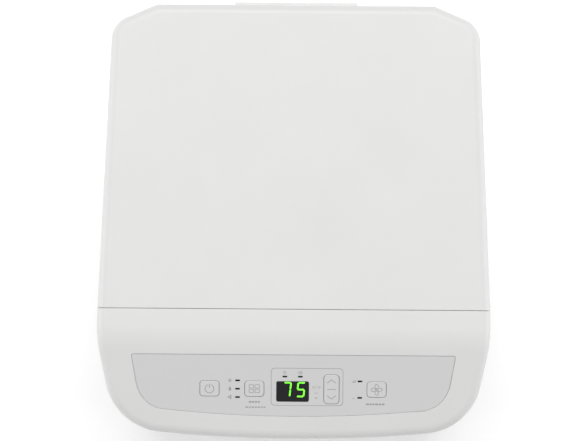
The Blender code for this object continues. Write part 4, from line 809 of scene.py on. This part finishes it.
# ---------------------------------------------------------------- printed marks and the display


def bar(place, size, turn=0.0, corner=0.0003, high=INK):
    """A flat mark on the slope: a rounded bar with its middle at a place."""
    piece = rounded_block("mark", (0, 0), size, min(corner, min(size) * 0.49), -INK, high, steps=3)
    return settle(piece, Matrix.Translation((*place, 0)) @ Matrix.Rotation(turn, 4, "Z"))


def stroke(start, end, wide=LINE):
    """A bar from one point to another."""
    start, end = Vector(start), Vector(end)
    run = end - start
    return bar((start + end) / 2, (run.length + wide, wide), math.atan2(run.y, run.x), wide / 2)


def outline_mark(place, size, corner, wide=LINE):
    """A line round a rectangle with rounded corners."""
    outer = rounded_block("mark", place, size, corner, -INK, INK)
    size, corner = grown(size, -wide), corner - wide / 2
    return cut(outer, rounded_block("inside", place, size, corner, -MARK_REACH, MARK_REACH))


def disc(place, radii, turn=0.0, sides=20):
    """A flat round or oval mark."""
    bpy.ops.mesh.primitive_cylinder_add(vertices=sides, radius=1, depth=2)
    turned = Matrix.Rotation(turn, 4, "Z") @ Matrix.Diagonal((*radii, INK, 1))
    return settle(bpy.context.object, Matrix.Translation((*place, 0)) @ turned)


def ring_mark(place, radius, wide=LINE, open_half=0.0):
    """A line round a circle, with a gap at its top that is twice open_half wide."""
    inside = rod("inside", radius - wide / 2, (*place, -MARK_REACH), (*place, MARK_REACH), 48)
    ring = cut(disc(place, (radius + wide / 2,) * 2, sides=48), inside)
    if open_half:
        x, v = place
        start, end = (x - open_half, v, -MARK_REACH), (x + open_half, v + radius * 2, MARK_REACH)
        cut(ring, box("ring_gap", start, end))
    return ring


def print_marks(name, finish, body, marks):
    """Joins flat marks and lays them on the slope."""
    fit(settle(join(name, *marks), SLOPE_PLACE), finish, body)


def petals(place, count, reach, wide, hub, line=0.0, start=0.5):
    """A fan seen from the front: petals round a hub, filled or drawn with a line."""
    marks = [disc(place, (hub, hub))]
    for i in range(count):
        turn = math.tau * (i + start) / count
        middle_of = Vector(place) + heading(turn) * reach * 0.58
        petal = disc(middle_of, (reach * 0.42, wide), turn + 0.35)
        if line:
            inside = disc(middle_of, (reach * 0.42 - line, wide - line), turn + 0.35)
            cut(petal, settle(inside, Matrix.Diagonal((1, 1, 20, 1))))
        marks.append(petal)
    return marks


def snowflake(place, reach):
    """Three bars that cross."""
    arms = [Vector(arm) * reach for arm in ((1, 0), (0.5, 0.866), (-0.5, 0.866))]
    return [stroke(Vector(place) - arm, Vector(place) + arm, LINE * 0.8) for arm in arms]


def droplet(place, radius):
    """A disc with two bars that meet in a tip over it."""
    x, v = place
    tip = (x, v + radius * 2.1)
    return [disc(place, (radius, radius))] + [
        stroke((x + side * radius * 0.62, v + radius * 0.6), tip, LINE * 1.1) for side in (-1, 1)
    ]


def label_dashes(place, widths, tall):
    """A row of short dashes that stands for a label."""
    total = sum(widths) + LINE * (len(widths) - 1)
    x, marks = place[0] - total / 2, []
    for wide in widths:
        marks.append(bar((x + wide / 2, place[1]), (wide, tall), corner=tall * 0.3))
        x += wide + LINE
    return marks


LABELS = (
    ((MODE_X, -0.0125), (0.0026, 0.0020, 0.0022, 0.0018), 0.0016),
    ((MODE_X + 0.0010, -0.0176), (0.0030, 0.0016, 0.0026, 0.0022, 0.0024, 0.0018, 0.0020), 0.0011),
    ((FAN_X - 0.0010, -0.0140), (0.0028, 0.0020, 0.0018, 0.0030, 0.0022, 0.0026), 0.0016),
)


def make_legends():
    """The marks on the keys, the status lamps, and what is printed on the overlay."""
    key = [
        ring_mark((POWER_X, -0.0002), 0.0040, open_half=0.0014),
        stroke((POWER_X, 0.0010), (POWER_X, 0.0045)),
    ]
    print_marks("power_mark", "legend_grey", body_of("power_key"), key)
    squares = [
        outline_mark((MODE_X + i * 0.0027, j * 0.0022 + 0.0002), (0.0046, 0.0037), 0.0009, LINE * 0.8)
        for i in (-1, 1)
        for j in (-1, 1)
    ]
    print_marks("mode_mark", "legend_grey", body_of("mode_key"), squares)
    arrows = [stroke((ROCKER_X - 0.0036, 0), (ROCKER_X + 0.0036, 0))]
    for up in (-1, 1):
        for side in (-1, 1):
            arrows.append(stroke((ROCKER_X + side * 0.0038, up * 0.0062), (ROCKER_X, up * 0.0092)))
    print_marks("rocker_marks", "legend_grey", body_of("temp_rocker_key"), arrows)
    fan = petals((FAN_X, 0), 4, 0.0054, 0.0018, 0.0006, LINE * 0.9, 0)
    print_marks("fan_mark", "legend_grey", body_of("fan_speed_key"), fan)

    lamp_rows = [(-0.0510, v) for v in (0.0080, 0, -0.0080)]
    lamp_rows += [(x, 0.0120) for x in (-0.0077, 0.0065)] + [(0.0611, v) for v in (0.0079, -0.0079)]
    lamps = [bar(place, LAMP_SIZE, corner=0.0006) for place in lamp_rows]
    print_marks("status_lamps", "lamp_black", "cabinet", lamps)

    marks = [outline_mark(FRAME_PLACE, FRAME_SIZE, 0.0034, LINE * 0.9)]
    marks += snowflake((MODE_SIGNS_X, 0.0080), 0.0019) + droplet((MODE_SIGNS_X, -0.0007), 0.0012)
    marks += petals((MODE_SIGNS_X, -0.0080), 3, 0.0021, 0.0008, 0.0004)
    marks.append(ring_mark(CLOCK, 0.0013, LINE * 0.7))
    marks.append(stroke(CLOCK, (-0.0077, 0.0166), LINE * 0.6))
    for step in (-1, 0, 1):
        v, x = 0.0158 + step * 0.0011, 0.0065 + step * 0.0014
        marks.append(stroke((0.0048, v), (0.0082, v), LINE * 0.5))
        marks.append(stroke((x, 0.0145), (x, 0.0171), LINE * 0.5))
    for i, tall in enumerate((0.0010, 0.0018, 0.0026)):
        marks.append(bar((0.0540 + i * 0.0014, 0.0066 + tall / 2), (0.0008, tall), corner=0.0002))
    marks.append(bar((0.0554, -0.0092 + 0.0006), (0.0008, 0.0012), corner=0.0002))
    for place, widths, tall in LABELS:
        marks += label_dashes(place, widths, tall)
    marks += [ring_mark(place, 0.0009, LINE * 0.6) for place in (DEGREE_PLACE, CELSIUS_PLACE)]
    marks += [stroke((0.0205, 0.0006), (0.0215, 0.0032), LINE * 0.6)]
    marks += [bar((0.0211, -0.0036), (0.0034, 0.0005)), disc((0.0211, -0.0084), (0.0010, 0.0006))]
    print_marks("overlay_legends", "legend_pale", "cabinet", marks)


SEGMENTS = {
    "top": ((0, 2), (1, 0)),
    "middle": ((0, 0), (1, 0)),
    "bottom": ((0, -2), (1, 0)),
    "upper_left": ((-1, 1), (0, 1)),
    "upper_right": ((1, 1), (0, 1)),
    "lower_left": ((-1, -1), (0, 1)),
    "lower_right": ((1, -1), (0, 1)),
}
LIT = {
    -0.0057: ("top", "upper_right", "lower_right"),
    0.0071: ("top", "upper_left", "middle", "lower_right", "bottom"),
}


def make_digits():
    """A lit seven and five, their segments leaning a little to the right."""
    half_wide, quarter_tall, thick, lean = 0.0031, 0.0033, 0.0014, math.radians(6)
    lit = []
    for centre_x, names in LIT.items():
        for name in names:
            (across, up), (flat, upright) = SEGMENTS[name]
            x, v = across * half_wide, up * quarter_tall
            long = half_wide * 2 if flat else quarter_tall * 2
            size = (long - thick * 0.35, thick) if flat else (thick, long - thick * 0.35)
            place = (centre_x + x + v * math.tan(lean), DIGIT_V + v)
            lit.append(bar(place, size, -lean if upright else 0, thick * 0.4, INK * 1.2))
    print_marks("lit_digits", "lit_green", "cabinet", lit)


# ---------------------------------------------------------------- rear panels and ports


def on_rear(node):
    """The place of a frame piece on the rear wall's face, with its Z pointing out."""
    centre = middle(node)
    return facing(centre.x, REAR_Y, centre.z, (0, 1, 0))


def pull_tab(half, proud, low_z, tall, slant=0.004):
    """A tab with slanted ends, standing out of a panel's face."""
    tab = box("tab", (-half, REAR_Y - 0.002, low_z), (half, REAR_Y + proud, low_z + tall))
    with editing(tab):
        for side in (-1, 1):
            cut_beyond((side * half, REAR_Y, 0), (side * proud, slant, 0))
        pick("EDGE", lambda edge: all(vert.co.y > REAR_Y + proud - SAME for vert in edge.verts))
        bpy.ops.mesh.bevel(offset=min(0.0009, proud / 3), segments=4)
    return tab


def make_filter_panel(node):
    """A slatted panel with a mullion, a pull tab and hinge pins."""
    low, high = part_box(node)
    opening, slats, tab_half = PANELS[node]
    half, rim = opening - 0.0005, 0.012
    frame_body = box("panel", (-half, REAR_Y - 0.008, low[2]), (half, REAR_Y, high[2]))
    front_foot = Vector((REAR_Y, low[2]))
    with editing(frame_body):
        pick("EDGE", lambda edge: all((vert.co.yz - front_foot).length < SAME for vert in edge.verts))
        bpy.ops.mesh.bevel(offset=0.004, segments=1)
    open_low, open_high, open_half = low[2] + rim, high[2] - rim, half - rim
    start, end = (-open_half, REAR_Y - REACH * 2, open_low), (open_half, REAR_Y + REACH * 2, open_high)
    cut(frame_body, box("air", start, end))
    soft_edges(frame_body, 0.0006)
    pitch = (open_high - open_low) / (slats + 1)
    slat = box("slat", (-open_half - 0.0005, -0.0024, -0.0008), (open_half + 0.0005, 0.0024, 0.0008))
    soft_edges(slat, 0.0006, 3)
    parts = [frame_body]
    tilt = Matrix.Rotation(math.radians(-38), 4, "X")
    for i in range(slats):
        place = Matrix.Translation((0, REAR_Y - 0.0022, open_low + pitch * (i + 1)))
        parts.append(copy_of(slat, "slat", place @ tilt))
    bpy.data.objects.remove(slat)
    start, end = (-0.0018, REAR_Y - 0.0040, open_low - 0.001), (0.0018, REAR_Y - 0.0002, open_high + 0.001)
    parts.append(soft_edges(box("mullion", start, end), 0.0005))
    parts.append(pull_tab(tab_half, high[1] - REAR_Y, high[2] - 0.0150, 0.0140))
    pin_y, pin_z = REAR_Y - 0.005, low[2] + 0.0041
    for side in (-1, 1):
        start, end = (side * (half - rim / 2), pin_y, pin_z), (side * (half + 0.0040), pin_y, pin_z)
        parts.append(soft_edges(rod("pin", 0.0016, start, end, 20), 0.0003))
    panel = join(node.replace("_frame", "_panel").replace("_door", "_panel"), *parts)
    fit(panel, "casing_white", body_of(node), node)


def make_filter_mesh(node):
    """A woven filter screen in a thin border."""
    low, high = (Vector(corner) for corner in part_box(node))
    size, centre = high - low, (high + low) / 2
    across, up = round(size.x / FILTER_PITCH), round(size.z / FILTER_PITCH)
    bpy.ops.mesh.primitive_grid_add(x_subdivisions=across, y_subdivisions=up, size=1)
    screen = bpy.context.object
    upright = Matrix.Rotation(math.pi / 2, 4, "X") @ Matrix.Diagonal((size.x - 0.004, size.z - 0.004, 1, 1))
    settle(screen, Matrix.Translation(centre) @ upright)
    apply_modifier(screen, "WIREFRAME", thickness=0.0007, use_even_offset=True)
    border = box("border", low, high)
    inner = Vector((0.004, -0.01, 0.004))
    cut(border, box("inside", low + inner, high - inner))
    soft_edges(border, 0.0003)
    screen = join(node + "_screen", border, screen)
    fit(screen, "filter_thread", body_of(node), node)


def make_exhaust_collar():
    """A flanged spigot with four catches outside and a guard of crossed bars and rings in its bore."""
    low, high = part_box("exhaust_collar")
    place = on_rear("exhaust_collar")
    outer, inner, flange = 0.0705, 0.0680, (high[0] - low[0]) / 2
    reach, inside = high[1] - REAR_Y, low[1] - REAR_Y
    profile = [(inner, inside), (outer, inside), (outer, GAP), (flange, GAP), (flange, 0.0028)]
    profile += [(outer, 0.0028), (outer, reach), (inner, reach)]
    parts = [soft_edges(spun("collar", profile, place, 96, closed=True), 0.0006, 3, 50)]
    catch = box("catch", (-0.007, outer - 0.0005, 0.010), (0.007, outer + 0.0016, 0.0135))
    soft_edges(catch, 0.0005)
    catches = spread(catch, "catches", 4)
    parts.append(settle(catches, place @ Matrix.Rotation(math.radians(45), 4, "Z")))
    guard_low, guard_high = inside + 0.001, inside + 0.004
    for wide in (Vector((inner + 0.001, 0.0015)), Vector((0.0015, inner + 0.001))):
        rib = box("rib", (-wide.x, -wide.y, guard_low), (wide.x, wide.y, guard_high))
        parts.append(settle(soft_edges(rib, 0.0006, 3), place))
    for radius in (0.017, 0.034, 0.051):
        ring = band(radius - 0.0012, radius + 0.0012, guard_low + GAP, guard_high - GAP)
        parts.append(soft_edges(spun("guard_ring", ring, place, 64, closed=True), 0.0005, 2, 50))
    piece = join("exhaust_spigot", *parts)
    fit(piece, "casing_white", "cabinet", "exhaust_collar")


def make_stoppers():
    """The drain cap and the drain plug: a stem with two sealing beads, and a head with a ribbed rim."""
    for node in ("drain_cap", "drain_plug"):
        place = on_rear(node)
        profile = [(0, -0.0100), (0.0060, -0.0100), (0.0072, -0.0085), (0.0072, -0.0070), (0.0075, -0.0065)]
        profile += [(0.0072, -0.0060), (0.0072, -0.0035), (0.0075, -0.0030), (0.0072, -0.0025), (0.0072, GAP)]
        profile += [(0.0113, GAP), (0.0113, 0.0042), (0.0106, 0.0050), (0.0062, 0.0050), (0.0058, 0.0044)]
        profile += [(0, 0.0044)]
        body = spun("stopper", profile, place, 64)
        rib = box("rib", (-0.0006, 0.0108, GAP), (0.0006, 0.0120, 0.0040))
        ribs = settle(spread(soft_edges(rib, 0.0002), "ribs", 24), place)
        grip = box("grip", (-0.0056, -0.0009, 0.0040), (0.0056, 0.0009, 0.0050))
        settle(soft_edges(grip, 0.0004, 3), place)
        piece = join(node + "_stopper", body, ribs, grip)
        fit(piece, "inner_grey_moulding", body_of(node), node)


def make_cord_gland():
    """A rubber strain relief: a flange, then a cone cut by grooves round a bore."""
    profile = [(0.0042, -0.0100), (0.0075, -0.0100), (0.0075, GAP), (0.0120, GAP)]
    profile += [(0.0120, 0.0020), (0.0112, 0.0026), (0.0075, 0.0030)]
    for i in range(4):
        radius, height = 0.0072 - i * 0.0004, 0.0045 + i * 0.0026
        profile += [(radius, height), (radius - 0.0012, height + 0.0003)]
        profile += [(radius - 0.0012, height + 0.0011), (radius - 0.0002, height + 0.0014)]
    profile += [(0.0056, 0.0153), (0.0042, 0.0153)]
    relief = spun("cord_relief", profile, on_rear("cord_gland"), 48, closed=True)
    fit(relief, "black_rubber", "cabinet", "cord_gland")


# ---------------------------------------------------------------- works


def make_coil(node):
    """Fins between two end plates, with straight copper tubes through them."""
    low, high = (Vector(corner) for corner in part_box(node))
    plate, lip = 0.0030, 0.0020
    plates = []
    for x in (low.x, high.x - plate):
        plates.append(soft_edges(box("plate", (x, low.y, low.z), (x + plate, high.y, high.z)), 0.0006))
    fin = box("fin", (-0.00012, low.y + lip, low.z + 0.001), (0.00012, high.y - lip, high.z - 0.001))
    span = high.x - low.x - 2 * plate
    count = round(span / FIN_PITCH)
    pitch = span / count
    for i in range(1, count):
        plates.append(copy_of(fin, "fin", Matrix.Translation((low.x + plate + i * pitch, 0, 0))))
    bpy.data.objects.remove(fin)
    fit(join(node + "_fins", *plates), "rolled_aluminium", "cabinet", node)
    tubes, rows = [], 8
    step = (high.z - low.z) / rows
    for i in range(rows):
        z = low.z + step * (i + 0.5)
        for y in (low.y + 0.009, high.y - 0.009):
            tubes.append(rod("tube", 0.0032, (low.x + 0.0005, y, z), (high.x - 0.0005, y, z), 16))
    fit(join(node + "_tubes", *tubes), "drawn_copper", "cabinet")


def make_compressor():
    """A welded can on three grommets, with its accumulator, strap, stub and terminal cover."""
    low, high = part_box("compressor")
    x, y, _ = COMPRESSOR_PLACE
    bottom, top, radius = low[2] + 0.0117, low[2] + 0.2267, COMPRESSOR_RADIUS
    place = Matrix.Translation(COMPRESSOR_PLACE)
    profile = [(0, bottom), (radius * 0.6, bottom + 0.001), (radius - 0.006, bottom + 0.007)]
    profile += [(radius, bottom + 0.016)]
    for seam in (bottom + 0.030, top - 0.038):
        bead = radius + 0.0014
        profile += [(radius, seam - 0.003), (bead, seam - 0.0014)]
        profile += [(bead, seam + 0.0014), (radius, seam + 0.003)]
    profile += [(radius, top - 0.020), (radius - 0.006, top - 0.008), (radius * 0.6, top - 0.001), (0, top)]
    can = spun("can", profile, place, 72)
    profile = [(0, top - 0.004), (0.007, top - 0.004), (0.007, top + 0.002), (0.005, top + 0.004)]
    stub = spun("stub", profile + [(0.005, high[2]), (0, high[2])], place, 32)
    corner, start, end = 0.006, top - 0.012, top + 0.010
    cover = rounded_block("cover", (x + 0.014, y - 0.012), (0.030, 0.026), corner, start, end, rim=0.003)
    start, end = bottom + 0.030, ACCUMULATOR_TOP
    dome = [(0, 0), (0.008, 0.001), (0.017, 0.006), (0.020, 0.014)]
    profile = [(out, start + up) for out, up in dome] + [(out, end - up) for out, up in reversed(dome)]
    accumulator = spun("accumulator", profile, Matrix.Translation(ACCUMULATOR_PLACE), 48)
    toward, mid = ACCUMULATOR_PLACE - COMPRESSOR_PLACE, (start + end) / 2
    strap = box("strap", (0, -0.008, mid - 0.006), (toward.length, 0.008, mid + 0.006))
    soft_edges(strap, 0.0015, 3)
    settle(strap, place @ Matrix.Rotation(math.atan2(toward.y, toward.x), 4, "Z"))
    foot = rod("foot", 0.062, (0, 0, bottom - 0.0015), (0, 0, bottom + 0.003), 3)
    with editing(foot):
        pick("EDGE", is_upright)
        true_round(0.012, math.tau / 3, 8)
    settle(foot, place @ Matrix.Rotation(math.radians(-60), 4, "Z"))
    grommet = [(0, low[2]), (0.008, low[2]), (0.008, low[2] + 0.004), (0.0065, low[2] + 0.005)]
    grommet += [(0.0065, low[2] + 0.007), (0.008, low[2] + 0.008), (0.008, bottom), (0, bottom)]
    feet = []
    for angle in (30, 150, 270):
        out = heading(math.radians(angle)) * 0.0446
        feet.append(spun("grommet", grommet, Matrix.Translation((x + out.x, y + out.y, 0)), 32))
    piece = join("compressor_unit", can, stub, cover, accumulator, strap, foot, *feet)
    fit(piece, "baked_black", "cabinet", "compressor")


def make_motor(node, x, z):
    """A fan motor: a finned can with an end boss on its shaft side."""
    low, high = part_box(node)
    place = facing(x, high[1], z, (0, 1, 0))
    deep, radius = high[1] - low[1], (high[0] - low[0]) / 2
    profile = [(0, -deep), (radius - 0.006, -deep), (radius - 0.0015, -deep + 0.003)]
    for i in range(6):
        z0 = -deep + 0.008 + i * 0.0062
        profile += [(radius, z0), (radius, z0 + 0.003)]
        profile += [(radius - 0.002, z0 + 0.0036), (radius - 0.002, z0 + 0.0056)]
    profile += [(radius - 0.001, -0.0085), (radius - 0.003, -0.0070), (0.018, -0.0050), (0.016, 0), (0, 0)]
    fit(spun(node + "_can", profile, place, 64), "plated_steel", "cabinet", node)


def make_fan_wheel(node, x, z):
    """A caged wheel: back plate, many curved blades, a rim and a hub on its shaft."""
    place = facing(x, WHEEL_PLATE_Y, z, (0, 1, 0))
    radius, deep = WHEEL_RADIUS, WHEEL_DEEP
    plate = [(0, 0), (radius, 0), (radius, 0.002), (0.030, 0.002), (0.022, 0.010), (0.012, 0.018), (0, 0.018)]
    parts = [spun("plate", plate, place, 64)]
    rim = spun("rim", band(radius - 0.011, radius, deep - 0.004, deep), place, 64, closed=True)
    parts.append(soft_edges(rim, 0.0008, 2, 50))
    blade = box("blade", (-0.0056, -0.0005, 0.001), (0.0056, 0.0005, deep - 0.002))
    with editing(blade):
        pick("EDGE", lambda edge: abs(edge.verts[0].co.x - edge.verts[1].co.x) > 0.005)
        bpy.ops.mesh.subdivide(number_cuts=4)
        for reach, rise in ((0.0045, 0.0012), (0.0025, 0.0008)):
            pick("VERT", lambda vert: abs(vert.co.x) < reach)
            bpy.ops.transform.translate(value=(0, rise, 0))
    settle(blade, Matrix.Translation((radius - 0.0057, 0, 0)) @ Matrix.Rotation(math.radians(35), 4, "Z"))
    parts.append(settle(spread(blade, "blades", BLADES), place))
    shaft = rod("shaft", 0.004, (x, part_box(node)[0][1], z), (x, WHEEL_PLATE_Y + 0.021, z), 24)
    parts.append(soft_edges(shaft, 0.0006))
    fit(join(node + "_cage", *parts), "inner_grey_moulding", body_of(node), node)


# ---------------------------------------------------------------- casters


def make_caster(name):
    """A swivel caster: a moulded yoke, a wheel with a soft tread on a spoked hub, and a riveted axle."""
    wheel_node, yoke_node, axle_node = (f"{name}_caster_{part}" for part in ("wheel", "yoke", "axle"))
    wheel_body, place, half = body_of(wheel_node), facing(*middle(wheel_node), (1, 0, 0)), TYRE_HALF
    tyre = [(0.0135, -half + 0.001), (0.0165, -half), (0.0176, -half + 0.0012), (TYRE_RADIUS, -0.003)]
    fit(spun(name + "_tyre", mirrored(tyre), place, 64, closed=True), "tread_grey", wheel_body)
    hub = [(0.0031, -half), (0.0060, -half), (0.0060, -0.0035), (0.0115, -0.0035)]
    hub += [(0.0120, -half + 0.0012), (0.0136, -half + 0.0012)]
    wheel = soft_edges(spun("hub", mirrored(hub), place, 64, closed=True), 0.0003, 2, 40)
    spoke = soft_edges(box("spoke", (0.0055, -0.0008, -0.0060), (0.0120, 0.0008, 0.0060)), 0.0004)
    spokes = settle(spread(spoke, "spokes", 6), place)
    fit(join(name + "_hub", wheel, spokes), "black_rubber", wheel_body, wheel_node)
    low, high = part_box(axle_node)
    reach = (high[0] - low[0]) / 2
    pin = [(0, -reach), (0.0020, -reach + 0.0001), (0.0034, -reach + 0.0008)]
    pin += [(0.0035, -reach + 0.0012), (0.0025, -reach + 0.0012)]
    fit(spun(name + "_rivet", mirrored(pin), place, 32), "plated_steel", body_of(axle_node), axle_node)
    refined(yoke_node, 0.0006, "pan_moulding", 3)


# ---------------------------------------------------------------- camera, light and floor


def aim(thing, place, target):
    thing.location = place
    thing.rotation_euler = (Vector(target) - Vector(place)).to_track_quat("-Z", "Y").to_euler()


def add_light(name, place, target, size, power):
    data = bpy.data.lights.new(name, "AREA")
    data.shape = "RECTANGLE"
    data.size, data.size_y = size
    data.energy = power
    light = bpy.data.objects.new(name, data)
    bpy.context.scene.collection.objects.link(light)
    aim(light, place, target)


def make_studio():
    lens = bpy.data.cameras.new("overhead_camera")
    camera = bpy.data.objects.new("overhead_camera", lens)
    bpy.context.scene.collection.objects.link(camera)
    lens.sensor_width = 36
    lens.lens = lens.sensor_width * CAMERA_ABOVE / VIEW_WIDE
    camera.location = (0.0005, CAMERA_Y, HEIGHT + CAMERA_ABOVE)
    camera.rotation_euler = (math.atan2(VIEW_Y - CAMERA_Y, CAMERA_ABOVE), 0, VIEW_TURN)
    bpy.context.scene.camera = camera

    bpy.ops.mesh.primitive_plane_add(size=12)
    floor = named(bpy.context.object, "studio_floor")
    tree, shader = start_finish("studio_white", 0.9)
    patches = noise(tree, new_node(tree, "ShaderNodeTexCoord").outputs["Object"], 3.0)
    glow(tree, shader, tinted(tree, patches, (0.93, 0.93, 0.93), (0.95, 0.95, 0.95)), 0.30)
    floor.data.materials.append(bpy.data.materials["studio_white"])

    world = bpy.data.worlds.new("studio_air")
    world.use_nodes = True
    air = world.node_tree.nodes["Background"]
    air.inputs["Color"].default_value = (1, 1, 1, 1)
    air.inputs["Strength"].default_value = 0.25
    bpy.context.scene.world = world
    bpy.context.scene.view_settings.view_transform = "Standard"

    for name, (place, size, power) in SOFTBOXES.items():
        add_light(name, place, (0, 0, HEIGHT), size, power)


make_finishes()
make_casing()
make_overlay()
make_keys()
make_legends()
make_digits()
for panel in PANELS:
    make_filter_panel(panel)
make_filter_mesh("upper_filter_mesh")
make_filter_mesh("lower_filter_mesh")
make_exhaust_collar()
make_stoppers()
make_cord_gland()
make_coil("evaporator_coil")
make_coil("condenser_coil")
make_compressor()
for side in ("evaporator", "condenser"):
    motor = side + "_fan_motor"
    x, _, z = middle(motor)
    make_motor(motor, x, z)
    make_fan_wheel(side + "_fan_wheel", x, z)
for caster in CASTERS:
    make_caster(caster)
for node, (width, finish) in EASED_NODES.items():
    refined(node, width, finish)
for node, finish in PLAIN_NODES.items():
    dress(node, finish)
make_studio()
